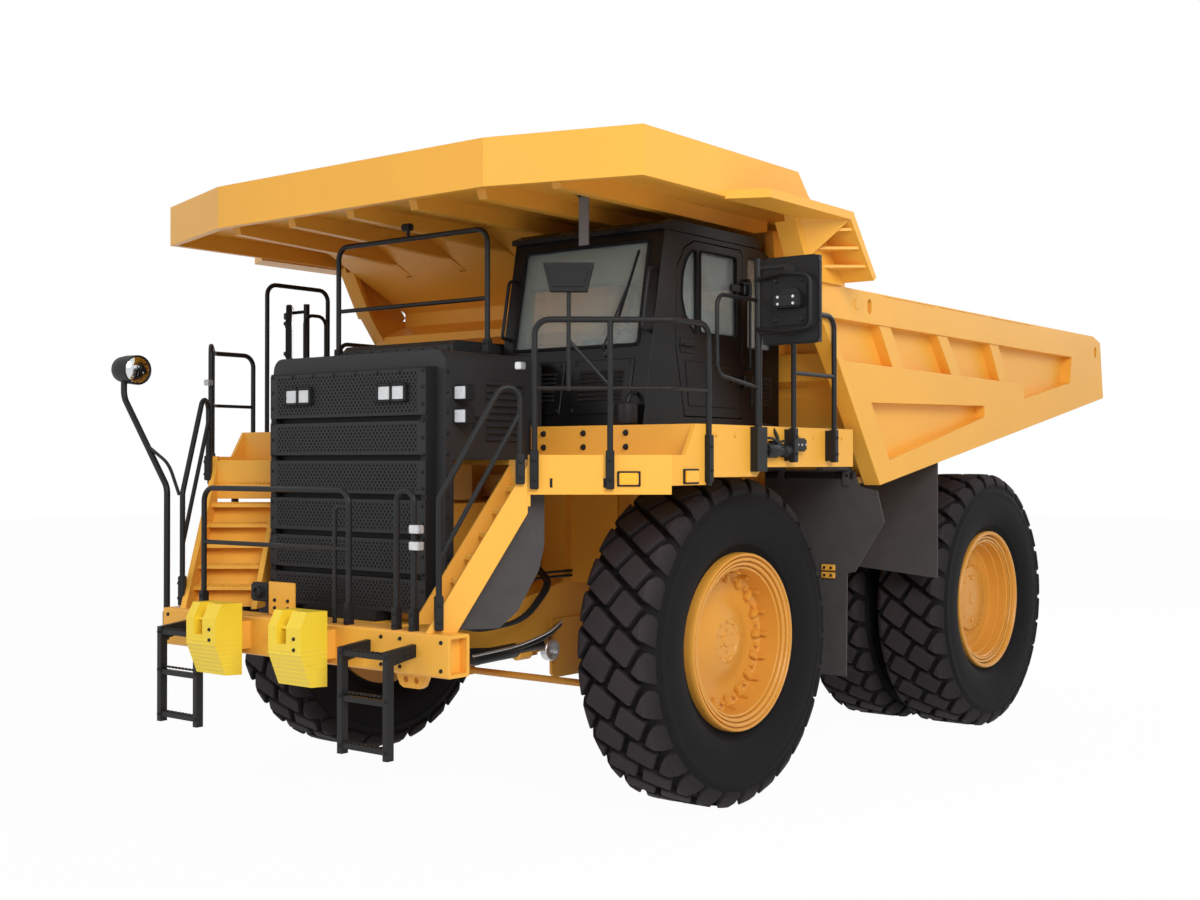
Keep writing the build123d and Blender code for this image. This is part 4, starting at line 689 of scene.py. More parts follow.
for side, sign in (("left", 1), ("right", -1)):
    middle = at(sign * front_wheel_x, 0, tyre_radius)
    rim = Fitting("rim_front_" + side)
    outwards = Vector((sign, 0, 0))
    rim.turned(rim_yellow, middle, outwards, front_face + front_back, 72)
    for k in range(rim_lugs):
        turn = 2 * pi * k / rim_lugs
        across, out = Vector((0, -sin(turn), cos(turn))), Vector((0, cos(turn), sin(turn)))
        foot = middle + outwards * 0.088
        rim.plate(rim_yellow, [foot + out * 0.475 - across * 0.026, foot + out * 0.572 - across * 0.040,
                               foot + out * 0.572 + across * 0.040, foot + out * 0.475 + across * 0.026],
                  outwards * 0.040, 0.008)
        rim.plate(rim_yellow, [foot + out * 0.555 - across * 0.022, foot + out * 0.588 - across * 0.022,
                               foot + out * 0.588 + across * 0.022, foot + out * 0.555 + across * 0.022],
                  outwards * 0.105, 0.008)
    rim.stamped(rim_yellow, ring_places(middle, 0.520, rim_lugs, sign, 0.126), outwards, rim_bolt)
    rim.stamped(rim_yellow, ring_places(middle, 0.160, 10, sign, 0.176), outwards, hub_bolt)
    rim.stamped(rim_yellow, ring_places(middle, 0.090, 6, sign, 0.167), outwards, hub_bolt)
    rim.block(rim_yellow, middle + Vector((sign * 0.20, -0.045, 0.572)),
              middle + Vector((sign * 0.26, 0.045, 0.592)), 0.004)
    rim.bar(rim_yellow, [middle + Vector((sign * 0.185, 0.02, 0.585)),
                         middle + Vector((sign * 0.225, 0.02, 0.560)),
                         middle + Vector((sign * 0.285, 0.02, 0.556))], 0.009, 0.02, 10)
    rim.fixed("wheel_front_" + side, "body_yellow", "front_rim_" + side)
    middle = at(sign * rear_wheel_x, wheelbase, tyre_radius)
    rim = Fitting("rims_rear_" + side)
    rim.turned(rim_yellow, middle, outwards, rear_face + rear_back, 72)
    rim.stamped(rim_yellow, ring_places(middle, 0.385, 40, sign, 0.060), outwards, rim_bolt)
    rim.stamped(rim_yellow, ring_places(middle, 0.255, 12, sign, 0.102), outwards, hub_bolt)
    rim.turned(rim_yellow, middle + outwards * 0.102, outwards,
               [(0, 0.0), (0, 0.060), (0.012, 0.056), (0.012, 0.0)])
    for turn in (pi / 2, -pi / 2):
        out = Vector((0, cos(turn), sin(turn)))
        rim.turned(rim_yellow, middle + outwards * 0.100 + out * 0.225, outwards,
                   [(0, 0.0), (0, 0.028), (0.018, 0.026), (0.020, 0.010), (0.020, 0.0)], 12)
    rim.fixed("wheels_rear_" + side, "body_yellow", "rear_rims_" + side)


# Bumper, wheel chocks and ladders
# The bumper is a welded box with a chequered tread on top and a camera on a bolted bracket. The chocks are
# moulded plastic on black hooks, with moulded ridges below; the ladders are black channels with bolted rungs.
black = enamel("satin_black_enamel", linear(30, 30, 31), 0.42, 0.04, shine=0.20)
# Near-black enamel: the real colour of some small parts, and painted shade behind the grille holes and in the
# fascia slots.
dark = enamel("near_black_enamel_and_painted_shade", linear(14, 14, 15), 0.7, 0.0)
chequer = Finish("chequered_tread")
where = chequer.place()
spread = chequer.add("ShaderNodeSeparateXYZ", None, {"Vector": where})
spread_x = Wire(chequer, spread.socket.node.outputs["X"])
spread_y = Wire(chequer, spread.socket.node.outputs["Y"])
slant_a = chequer.math("SINE", (spread_x + spread_y) * 150.0)
slant_b = chequer.math("SINE", (spread_x - spread_y) * 150.0)
raised = chequer.math("MAXIMUM", slant_a * chequer.math("GREATER_THAN", slant_b, 0.55),
                      slant_b * chequer.math("GREATER_THAN", slant_a, 0.55))
chequer_bump = chequer.add("ShaderNodeBump", None, {"Strength": 0.5, "Distance": 0.003, "Height": raised})
scrape = chequer.noise(where, 9.0, 6.0, 0.7)
tread_plate = chequer.done(chequer.add("ShaderNodeBsdfPrincipled", None, {
    "Base Color": chequer.mix(linear(236, 172, 78), linear(190, 136, 66),
                              chequer.math("MULTIPLY", scrape, scrape, clamp=True)),
    "Roughness": 0.38 + 0.2 * scrape, "Normal": chequer_bump, "Specular IOR Level": 0.42}))

moulded = Finish("chock_plastic")
where = moulded.place()
height = moulded.add("ShaderNodeSeparateXYZ", None, {"Vector": where}, "Z")
ridges = moulded.math("SINE", height * 190.0) * moulded.math("LESS_THAN", height, 1.44)
speck = moulded.noise(where, 60.0, 3.0)
moulded_bump = moulded.add("ShaderNodeBump", None,
                           {"Strength": 0.35, "Distance": 0.006, "Height": ridges + 0.1 * speck})
chock_plastic = moulded.done(moulded.add("ShaderNodeBsdfPrincipled", None, {
    "Base Color": moulded.mix(linear(244, 214, 62), linear(240, 203, 46), moulded.noise(where, 2.0, 3.0)),
    "Roughness": 0.32 + 0.16 * speck, "Normal": moulded_bump, "Specular IOR Level": 0.45}))
coat(chock_plastic, "wheel_chocks")
coat(black, "ladders")

bumper = Fitting("bumper_fittings")
bumper.block(tread_plate, at(-1.64, -2.588, 1.5915), at(1.44, -2.402, 1.598), 0.001)
bolt_large, bolt_small = bolt_head(0.026), bolt_head(0.016)
bumper.stamped(black, [at(x, -2.600, z) for x in (-1.62, -1.12, 1.00, 1.20, 1.62) for z in (1.34, 1.54)],
               (0, -1, 0), bolt_small)
bumper.stamped(yellow, [at(x, -2.600, 1.44) for x in (-0.30, 0.02)], (0, -1, 0), bolt_large)
bumper.block(yellow, at(-0.44, -2.49, 1.590), at(-0.12, -2.475, 1.865), 0.003)
bumper.block(yellow, at(-0.44, -2.49, 1.590), at(-0.12, -2.42, 1.606), 0.003)
bumper.stamped(black, [at(x, -2.49, z) for x in (-0.36, -0.20) for z in (1.66, 1.72)], (0, -1, 0), bolt_small)
bumper.block(black, at(-0.66, -2.50, 1.70), at(-0.43, -2.43, 1.85), 0.014)
bumper.turned(black, at(-0.545, -2.50, 1.775), (0, -1, 0),
              [(0, 0), (0, 0.05), (0.03, 0.046), (0.032, 0.036), (0.018, 0.032), (0.018, 0)])
bumper.bar(black, [at(-0.43, -2.46, 1.74), at(-0.33, -2.46, 1.66), at(-0.30, -2.44, 1.60)], 0.010, 0.04, 8)
for low_x, high_x in ((0.184, 0.554), (-0.828, -0.458)):
    bumper.block(black, at(low_x + 0.05, -2.735, 1.46), at(high_x - 0.05, -2.715, 1.70), 0.004)
    bumper.stamped(black, [at(high_x - 0.075, -2.968, 1.52), at(high_x - 0.075, -2.968, 1.44)], (0, -1, 0),
                   bolt_small)
for sign in (1, -1):
    for level in (0.755, 1.115, 1.420):
        places = [at(sign * x, -2.870, level + 0.020) for x in (0.862, 1.343)]
        bumper.stamped(black, places, (0, -1, 0), bolt_small)
        teeth = [at(sign * (0.905 + 0.045 * k), -2.860, level + 0.040) for k in range(10)]
        for tooth in teeth:
            bumper.block(black, tooth - Vector((0.012, 0, 0.002)), tooth + Vector((0.012, 0.040, 0.010)),
                         0.002)
    for x in (0.837, 1.368):
        bumper.stamped(black, [at(sign * x, y, 1.44) for y in (-2.70, -2.64)],
                       (sign * (1 if x > 1 else -1), 0, 0), bolt_small)
bumper.fixed("chassis", "body_yellow")


# Radiator grille
# Six sheets of perforated steel, satin black, bolted along a flat border to the radiator frame, which is
# coated near-black behind them as painted shade in the holes. Two pairs of square lamps sit in the top sheet.
sheet_black = enamel("sheet_black_enamel", linear(40, 40, 41), 0.46, 0.03, 0.001, 0.20)
# The CAD grille behind the sheets is coated near-black: painted shade in the depth of the holes.
coat(dark, "grille")
hole_pitch, hole_row, hole_radius, sheet_thick = 0.043, 0.026, 0.0112, 0.007


def perforation():
    """One cell of perforated sheet with its round hole, facing +Z with X along the row."""
    half_x, half_y = hole_pitch / 2, hole_row / 2
    edge = [(half_x, 0), (half_x, half_y), (0, half_y), (-half_x, half_y), (-half_x, 0), (-half_x, -half_y),
            (0, -half_y), (half_x, -half_y)]
    rim_line = [(hole_radius * cos(pi * k / 4), hole_radius * sin(pi * k / 4)) for k in range(8)]
    points = [(x, y, 0) for x, y in edge + rim_line] + [(x, y, -sheet_thick) for x, y in rim_line]
    faces = []
    for k in range(8):
        n = (k + 1) % 8
        faces += [(k, n, 8 + n, 8 + k), (8 + k, 8 + n, 16 + n, 16 + k)]
    mesh = bpy.data.meshes.new("perforation")
    mesh.from_pydata(points, [], faces)
    return mesh


grille = Fitting("grille_sheets")
cell = perforation()
strips = ((3.174, 3.530), (2.869, 3.129), (2.564, 2.824), (2.259, 2.519), (1.954, 2.214), (1.650, 1.909))
face_y = -2.097
for low_z, high_z in strips:
    rows = int((high_z - low_z - 0.03) / hole_row)
    start = (low_z + high_z) / 2 - (rows - 1) * hole_row / 2
    places = []
    for row in range(rows):
        count = 40 - row % 2
        for k in range(count):
            places.append(at((k - (count - 1) / 2) * hole_pitch, face_y, start + row * hole_row))
    clear = [place for place in places
             if low_z < 3.0 or not (0.385 < abs(place.x) < 0.735 and 3.27 < place.z < 3.43)]
    grille.stamped(sheet_black, clear, (0, -1, 0), cell)
    for z0, z1 in ((low_z, start - hole_row / 2), (start + (rows - 0.5) * hole_row, high_z)):
        grille.block(sheet_black, at(-0.930, face_y, z0), at(0.930, face_y + 0.006, z1), 0.001)
    for x0, x1 in ((-0.930, -0.836), (0.836, 0.930)):
        grille.block(sheet_black, at(x0, face_y - 0.002, low_z), at(x1, face_y + 0.006, high_z), 0.001)
border_bolts = [at(x, face_y - 0.002, z) for x in (-0.900, 0.900)
                for z in [1.70 + 0.13 * k for k in range(15)]]
border_bolts += [at(-0.90 + 0.2571 * k, face_y, 3.517) for k in range(8)]
grille.stamped(black, border_bolts, (0, -1, 0), bolt_small)

clear_lens = Finish("clear_lamp_lens")
where = clear_lens.place()
flutes = clear_lens.add("ShaderNodeSeparateXYZ", None, {"Vector": where}, "X")
fluted = clear_lens.add("ShaderNodeBump", None, {"Strength": 0.35, "Distance": 0.002,
                                                 "Height": clear_lens.math("SINE", flutes * 420.0)})
lamp_lens = clear_lens.done(clear_lens.add("ShaderNodeBsdfPrincipled", None, {
    "Base Color": clear_lens.mix(linear(222, 224, 226), linear(190, 193, 196),
                                 clear_lens.noise(where, 30.0, 2.0)),
    "Roughness": 0.12 + 0.08 * clear_lens.noise(where, 50.0), "Normal": fluted, "Coat Weight": 0.6}))
coat(lamp_lens, "lamps")
for sign in (1, -1):
    pair_low, pair_high = (0.400, 0.720) if sign > 0 else (-0.720, -0.400)
    for z0, z1 in ((3.278, 3.296), (3.404, 3.422)):
        grille.block(black, at(pair_low, -2.125, z0), at(pair_high, -2.088, z1), 0.004)
    for middle_x in (0.405, 0.560, 0.715):
        grille.block(black, at(sign * middle_x - 0.012, -2.125, 3.278),
                     at(sign * middle_x + 0.012, -2.088, 3.422), 0.004)
    grille.block(dark, at(pair_low, -2.096, 3.278), at(pair_high, -2.089, 3.422), 0.001)
grille.fixed("chassis", "satin_black")


# Hood
# A folded and riveted steel hood, satin black, with a raised cover behind the rail, square work lamps on
# brackets at its sides, louvres and turn latches.
hood_black = enamel("hood_black_enamel", linear(45, 45, 46), 0.45, 0.03, shine=0.20)
coat(hood_black, "hood")
hood = Fitting("hood_fittings")
for sign in (1, -1):
    side_x = sign * 1.031
    for z in (3.165, 3.345):
        low_x, high_x = sorted((side_x, side_x + sign * 0.135))
        hood.block(black, at(low_x, -1.900, z - 0.062), at(high_x, -1.800, z + 0.062), 0.010)
        hood.block(lamp_lens, at(low_x + 0.012, -1.908, z - 0.048), at(high_x - 0.012, -1.896, z + 0.048),
                   0.004)
    low_x, high_x = sorted((side_x - sign * 0.006, side_x + sign * 0.012))
    for k in range(9):
        z = 2.98 + 0.055 * k
        hood.plate(hood_black, [at(side_x, -1.55, z), at(side_x + sign * 0.022, -1.55, z),
                                at(side_x, -1.55, z + 0.040)], (0, 0.42, 0), 0.003)
    for y in (-1.66, -1.02):
        hood.block(black, at(low_x, y - 0.035, 3.05), at(high_x, y + 0.035, 3.17), 0.006)
        hood.turned(black, at(side_x + sign * 0.008, y, 3.11), (sign, 0, 0),
                    [(0, 0), (0, 0.024), (0.012, 0.022), (0.014, 0.010), (0.014, 0)], 14)
    hood.stamped(black, [at(side_x, -1.965, 1.75 + 0.16 * k) for k in range(12)], (sign, 0, 0), bolt_small)
hood.stamped(black, [at(-0.86 + 0.215 * k, -1.94, 3.680) for k in range(9)], (0, 0, 1), bolt_small)
hood.stamped(black, [at(-0.93 + 0.16 * k, -1.288, 3.765) for k in range(9)], (0, -1, 0), bolt_small)
hood.turned(black, at(0.62, -1.62, 3.678), (0, 0, 1),
            [(0, 0), (0, 0.075), (0.03, 0.072), (0.034, 0.06), (0.034, 0)], 20)
hood.fixed("chassis", "satin_black")


# Handrails
# Bent steel tube, satin black. Each post stands in a clamp sleeve that is bolted to the fascia; the gates are
# held by bright steel catches.
coat(black, "deck_rails", "bumper_rails", "hood_rail")
catch = Finish("bright_steel_catch")
catch_where = catch.place()
catch_steel = catch.done(catch.add("ShaderNodeBsdfPrincipled", None, {
    "Base Color": catch.mix(linear(222, 222, 224), linear(182, 183, 186),
                            catch.noise(catch_where, 25.0, 3.0)),
    "Metallic": 0.85, "Roughness": 0.26 + 0.18 * catch.noise(catch_where, 80.0)}))
stair_turn = radians(34.5)
stair_x, stair_y, bumper_top = 1.461, -2.596, 1.592


def on_stair(side, x, y, z):
    """A place on one flight of stairs: y up the flight, z above the bumper."""
    return at(side * (stair_x + x * cos(stair_turn) + y * sin(stair_turn)),
              stair_y - x * sin(stair_turn) + y * cos(stair_turn), bumper_top + z)


rails = Fitting("rail_sleeves")


def sleeve(foot, top, ahead, width=0.062, deep=0.056):
    """A square clamp sleeve round a post, with two bolts on its outer face."""
    foot, ahead = Vector(foot), Vector(ahead).normalized()
    across = Vector((-ahead.y, ahead.x, 0))
    corners = [foot + ahead * u * deep / 2 + across * v * width / 2
               for u, v in ((-1, -1), (1, -1), (1, 1), (-1, 1))]
    rails.plate(black, corners, (0, 0, top - foot.z), 0.006)
    rails.stamped(black, [foot + ahead * deep / 2 + Vector((0, 0, share * (top - foot.z)))
                          for share in (0.25, 0.75)], ahead, bolt_small)


along_x, along_y = 0.8022, 0.5971
fascia_x, fascia_y = 1.879, -1.988
for sign in (1, -1):
    out = (sign * along_y, -along_x, 0)
    for distance in (0.050, 0.600):
        sleeve(at(sign * (fascia_x + along_x * distance + along_y * 0.017),
                  fascia_y + along_y * distance - along_x * 0.017, 2.615), 2.900, out)
    sleeve(at(sign * 2.737, -0.918, 2.660), 3.020, (sign, 0, 0))
    for y in (0.200, 0.850):
        sleeve(at(sign * 2.792, y, 2.810), 3.090, (sign, 0, 0))
    sleeve(on_stair(sign, 0.016, 0.090, 0.020), 1.860, (sign * cos(stair_turn), -sin(stair_turn), 0))
    sleeve(on_stair(sign, 0.016, 0.678, 1.060), 2.870, (sign * cos(stair_turn), -sin(stair_turn), 0))
for y in (-0.754, 0.0):
    sleeve(at(-2.737, y, 2.810), 3.050, (-1, 0, 0))
for x in (-1.185, 0.600, 1.120, 1.300):
    sleeve(at(x, -2.560, 1.590), 1.760, (0, -1, 0), 0.060, 0.060)
for x in (-0.900, 0.900):
    sleeve(at(x, -1.400, 3.678), 3.800, (0, -1, 0), 0.060, 0.060)
for place in (at(1.300, -2.560, 2.33), at(1.300, -2.560, 2.21)):
    rails.block(catch_steel, place - Vector((0.026, 0.030, 0.030)), place + Vector((0.075, 0.030, 0.030)),
                0.006)
for sign in (1, -1):
    place = on_stair(sign, 0.016, 0.678, 1.92)
    rails.block(catch_steel, place - Vector((0.030, 0.030, 0.026)), place + Vector((0.030, 0.030, 0.026)),
                0.006)
rails.bar(black, [at(0.600, -2.560, 2.480), at(0.440, -2.560, 2.480), at(0.440, -2.560, 1.600)], 0.017, 0.075)
rails.bar(black, [at(-0.02, -1.400, 4.690), at(-0.02, -1.400, 4.770)], 0.014)
rails.block(black, at(-0.075, -1.440, 4.755), at(0.035, -1.380, 4.815), 0.012)
rails.fixed("chassis", "satin_black")


# Stairs and decks
# Folded plate stringers with saw-edged treads, and decks of bent plate bolted to brackets. Amber marker lamps
# sit in black frames on the fascia, which has rows of bolts and narrow slots, drawn as thin near-black
# plates of painted shade.
coat(yellow, "stairs", "decks")
decks = Fitting("deck_fittings")
saw = bpy.data.meshes.new("saw_tooth")
saw.from_pydata([(-0.012, -0.010, 0), (0.012, -0.010, 0), (0.012, 0.010, 0), (-0.012, 0.010, 0),
                 (0, -0.006, 0.016), (0, 0.006, 0.016)], [],
                [(0, 1, 4), (1, 2, 5, 4), (2, 3, 5), (3, 0, 4, 5), (3, 2, 1, 0)])
rise, run, steps = 1.198, 0.738, 7
for sign in (1, -1):
    for k in range(1, steps):
        teeth = []
        for row in (0.085, 0.125, 0.165):
            teeth += [on_stair(sign, -0.060 - 0.0335 * j, run * k / steps + row, rise * k / steps)
                      for j in range(16)]
        decks.stamped(yellow, teeth, (0, 0, 1), saw)
amber = Finish("amber_lamp_lens")
where = amber.place()
amber_lens = amber.done(amber.add("ShaderNodeBsdfPrincipled", None, {
    "Base Color": amber.mix(linear(255, 190, 30), linear(246, 160, 14), amber.noise(where, 60.0, 2.0)),
    "Roughness": 0.14 + 0.1 * amber.noise(where, 90.0), "Coat Weight": 0.5}))


def marker(centre, out, width, height):
    """An amber marker lamp in a black frame, on a face of the fascia."""
    centre, out = Vector(centre), Vector(out).normalized()
    across, up = Vector((-out.y, out.x, 0)), Vector((0, 0, 1))

    def panel(w, h):
        return [centre + across * u * w / 2 + up * v * h / 2
                for u, v in ((-1, -1), (1, -1), (1, 1), (-1, 1))]
    decks.plate(black, panel(width + 0.020, height + 0.016), out * 0.012, 0.003)
    decks.plate(amber_lens, panel(width - 0.010, height - 0.010), out * 0.024, 0.005)


for sign in (1, -1):
    out = Vector((sign * along_y, -along_x, 0))
    marker(at(sign * 2.470, -1.548, 2.690), out, 0.150, 0.096)
    marker(at(sign * 2.720, -1.130, 2.706), (sign, 0, 0), 0.170, 0.096)
    for distance in (0.170, 0.560):
        slot_place = at(sign * (fascia_x + along_x * distance), fascia_y + along_y * distance, 2.660)
        lean = Vector((sign * along_x, along_y, 0))
        # Each slot is a thin near-black plate on the fascia: painted shade where the slot would be.
        decks.plate(dark, [slot_place + lean * u * 0.010 + Vector((0, 0, v * 0.034)) for u, v in
                           ((-1, -1), (1, -1), (1, 1), (-1, 1))], out * 0.002, 0.001)
    decks.stamped(black, [at(sign * x, -1.060, z) for x in (1.20, 1.62, 2.05) for z in (2.93, 3.04)],
                  (0, -1, 0), bolt_large)
    decks.stamped(yellow, [at(sign * 2.720, y, 3.02) for y in (-0.80, -0.55, 0.40, 0.62, 1.10)],
                  (sign, 0, 0), bolt_small)
    decks.stamped(yellow, [at(sign * x, -1.20, 2.830) for x in (1.2, 1.6, 2.0, 2.4)], (0, 0, 1), bolt_small)
    header = [on_stair(sign, -0.08 - 0.16 * j, 0.737, 1.00) for j in range(4)]
    decks.stamped(black, header, (-sign * sin(stair_turn), -cos(stair_turn), 0), bolt_small)
decks.turned(black, at(2.752, -0.16, 2.905), (0, 1, 0),
             [(0, 0), (0, 0.052), (0.02, 0.060), (0.15, 0.060), (0.16, 0.040), (0.25, 0.040), (0.26, 0.056),
              (0.34, 0.056), (0.35, 0.045), (0.35, 0)], 20)
decks.block(black, at(2.722, -0.185, 2.860), at(2.742, -0.02, 2.950), 0.004)
decks.bar(black, [at(2.752, 0.02, 2.955), at(2.752, 0.02, 3.02), at(2.70, 0.02, 3.10),
                  at(2.60, 0.02, 3.115)], 0.014, 0.06, 10)
decks.turned(black, at(1.98, -0.965, 3.115), (0, 0, 1),
             [(0, 0), (0, 0.085), (0.02, 0.090), (0.15, 0.090), (0.17, 0.075), (0.17, 0)], 20)
decks.bar(black, [at(1.98, -0.965, 3.26), at(1.98, -0.93, 3.34), at(1.98, -0.85, 3.36)], 0.018, 0.05, 10)
decks.fixed("chassis", "body_yellow")


# Cab
# A welded steel cab, satin black inside and out, with tinted glass in rubber seals, a wiper, grab bars, two
# louvred covers below the windscreen, a blind behind it, and a pull handle on the door.
cab_black = enamel("cab_black_enamel", linear(12, 12, 13), 0.30, 0.0, shine=0.24)
coat(cab_black, "cab_shell", "cab_roof", "cab_door")
tint = Finish("tinted_glass")
smear = tint.noise(tint.place(), 2.0, 4.0)
glass = tint.done(tint.add("ShaderNodeBsdfPrincipled", None,
                           {"Base Color": (0.66, 0.74, 0.72, 1.0), "Roughness": 0.02 + 0.04 * smear,
                            "Transmission Weight": 0.66, "IOR": 1.20, "Alpha": 0.46}))
coat(glass, "cab_glass", "door_glass")
seal_rubber = rubber("seal_rubber", linear(16, 16, 17), linear(26, 26, 27))


screen_y, screen_run, screen_foot, screen_rise = -0.882, 0.282, 3.100, 1.580


def on_screen(x, z, proud=0.0):
    """A place on the slanted front of the cab."""
    return at(x, screen_y + screen_run * (z - screen_foot) / screen_rise - proud, z)


cab = Fitting("cab_fittings")
cab.bar(seal_rubber, [on_screen(0.60, 3.75), on_screen(1.94, 3.75), on_screen(1.94, 4.60),
                      on_screen(0.60, 4.60), on_screen(0.60, 3.76)], 0.016, 0.05, 8)
cab.bar(black, [on_screen(1.62, 3.70, 0.012), on_screen(1.62, 3.73, 0.050), on_screen(1.80, 4.22, 0.050)],
        0.010, 0.02, 8)
cab.bar(seal_rubber, [on_screen(1.73, 3.95, 0.034), on_screen(1.87, 4.52, 0.034)], 0.011, 0.0, 8)
cab.turned(black, on_screen(1.62, 3.695, -0.004), (0, -1, 0.1),
           [(0, 0), (0, 0.040), (0.03, 0.034), (0.034, 0.0)], 16)
for x in (0.52, 2.03):
    cab.bar(black, [on_screen(x, 3.86, -0.006), on_screen(x, 3.86, 0.085), on_screen(x, 4.36, 0.085),
                    on_screen(x, 4.36, -0.006)], 0.015, 0.06, 10)
for low_x, high_x in ((0.62, 1.20), (1.30, 1.92)):
    cab.plate(cab_black, [on_screen(low_x, 3.20), on_screen(high_x, 3.20), on_screen(high_x, 3.64),
                          on_screen(low_x, 3.64)], (0, -0.012, 0), 0.004)
    cab.stamped(black, [on_screen(x, z, 0.010) for x in (low_x + 0.03, high_x - 0.03)
                        for z in (3.23, 3.61)], (0, -1, 0), bolt_small)
    for k in range(7):
        z = 3.31 + 0.036 * k
        cab.plate(black, [on_screen(low_x + 0.08, z, 0.010), on_screen(low_x + 0.08, z, 0.026),
                          on_screen(low_x + 0.08, z + 0.024, 0.010)], (high_x - low_x - 0.16, 0, 0), 0.002)
for k in range(4):
    cab.block(cab_black, at(0.62 + 0.36 * k, -0.46, 4.768), at(0.70 + 0.36 * k, 0.60, 4.786), 0.006)
cab.turned(black, at(0.75, 0.50, 4.768), (0, 0, 1), [(0, 0), (0, 0.035), (0.02, 0.030), (0.024, 0.0)], 16)
cab.block(black, at(2.078, 0.640, 3.30), at(2.088, 0.960, 3.56), 0.003)
for k in range(6):
    cab.block(cab_black, at(2.084, 0.665, 3.325 + 0.037 * k), at(2.094, 0.935, 3.343 + 0.037 * k), 0.002)
cab.bar(black, [at(2.078, 0.545, 3.62), at(2.135, 0.545, 3.62), at(2.135, 0.545, 4.38),
                at(2.078, 0.545, 4.38)], 0.013, 0.05, 10)
blind_green = enamel("blind_green", linear(66, 74, 60), 0.7, 0.0, 0.001)
cab.plate(blind_green, [on_screen(0.66, 4.28, -0.075), on_screen(1.88, 4.28, -0.075),
                        on_screen(1.88, 4.59, -0.075), on_screen(0.66, 4.59, -0.075)], (0, 0.006, 0), 0.001)
cab.bar(black, [on_screen(0.64, 4.275, -0.075), on_screen(1.90, 4.275, -0.075)], 0.010, 0.0, 8)
cab.fixed("chassis", "satin_black")

door = Fitting("door_fittings")
door.block(black, at(2.078, -0.395, 3.700), at(2.086, -0.205, 3.830), 0.004)
door.bar(black, [at(2.082, -0.375, 3.765), at(2.115, -0.375, 3.765), at(2.115, -0.225, 3.765),
                 at(2.082, -0.225, 3.765)], 0.010, 0.03, 10)
for outline in ([(-0.190, 3.870), (-0.325, 4.010), (-0.372, 4.150), (-0.362, 4.330), (-0.310, 4.470),
                 (-0.230, 4.550), (-0.165, 4.557), (-0.165, 3.870)],
                [(-0.115, 3.880), (-0.115, 4.560), (0.415, 4.560), (0.415, 3.880)]):
    ring = [at(2.080, y, z) for y, z in outline]
    door.bar(seal_rubber, ring + [ring[0], ring[1] * 0.1 + ring[0] * 0.9], 0.010, 0.03, 8)
door.plate(cab_black, [at(2.079, -0.280, 3.270), at(2.079, 0.420, 3.270), at(2.079, 0.420, 3.640),
                       at(2.079, -0.330, 3.640)], (0.006, 0, 0), 0.003)
door.fixed("door", "satin_black")


# Seats and dashboard
# Two suspension seats with foam pads under woven cloth, sewn in channels, on moulded bases, and a moulded
# dashboard with a display and switches.
weave = Finish("seat_cloth")
where = weave.place()
across_weave = weave.add("ShaderNodeSeparateXYZ", None, {"Vector": where})
weft = weave.math("SINE", Wire(weave, across_weave.socket.node.outputs["X"]) * 900.0)
warp = weave.math("SINE", Wire(weave, across_weave.socket.node.outputs["Z"]) * 900.0)
cloth_bump = weave.add("ShaderNodeBump", None, {"Strength": 0.4, "Distance": 0.001, "Height": weft * warp})
seat_cloth = weave.done(weave.add("ShaderNodeBsdfPrincipled", None, {
    "Base Color": weave.mix(linear(38, 38, 41), linear(58, 58, 62), weave.noise(where, 40.0, 4.0)),
    "Roughness": 0.82 + 0.1 * weave.noise(where, 90.0), "Normal": cloth_bump, "Sheen Weight": 0.3}))
grained = Finish("dash_plastic")
where = grained.place()
grain_bump = grained.add("ShaderNodeBump", None,
                         {"Strength": 0.25, "Distance": 0.001, "Height": grained.noise(where, 320.0, 3.0)})
dash_plastic = grained.done(grained.add("ShaderNodeBsdfPrincipled", None, {
    "Base Color": grained.mix(linear(34, 34, 36), linear(48, 48, 50), grained.noise(where, 6.0, 3.0)),
    "Roughness": 0.5 + 0.15 * grained.noise(where, 30.0), "Normal": grain_bump}))
coat(dash_plastic, "dashboard")


def pad(fitting, low, high, lean=0.0):
    """A crowned foam pad with two sewn channels, its sides pulled in between the corners."""
    part = bmesh.new()
    bmesh.ops.create_cube(part, size=2.0)
    bmesh.ops.subdivide_edges(part, edges=list(part.edges), cuts=13, use_grid_fill=True)
    middle, half = (low + high) / 2, (high - low) / 2
    for vert in part.verts:
        p = vert.co.copy()
        reach = max(abs(p.x), abs(p.y), abs(p.z))
        norm = (abs(p.x) ** 6 + abs(p.y) ** 6 + abs(p.z) ** 6) ** (1 / 6)
        p *= reach / norm
        crown = 0.16 * (1 - p.x ** 2) * (1 - p.y ** 2) if p.z > 0 else 0.0
        channel = sum(0.10 * 2.718 ** (-((p.x - c) / 0.05) ** 2) for c in (-0.42, 0.42)) if p.z > 0.3 else 0.0
        pinch = 1 - 0.05 * (1 - p.z ** 2)
        flat = Vector((p.x * pinch * half.x, p.y * pinch * half.y, (p.z * 0.86 + crown - channel) * half.z))
        if lean:
            flat = Vector((flat.x, flat.z * -cos(lean) + flat.y * sin(lean),
                           flat.y * cos(lean) + flat.z * sin(lean)))
        vert.co = middle + flat
    fitting.form(seat_cloth, part)


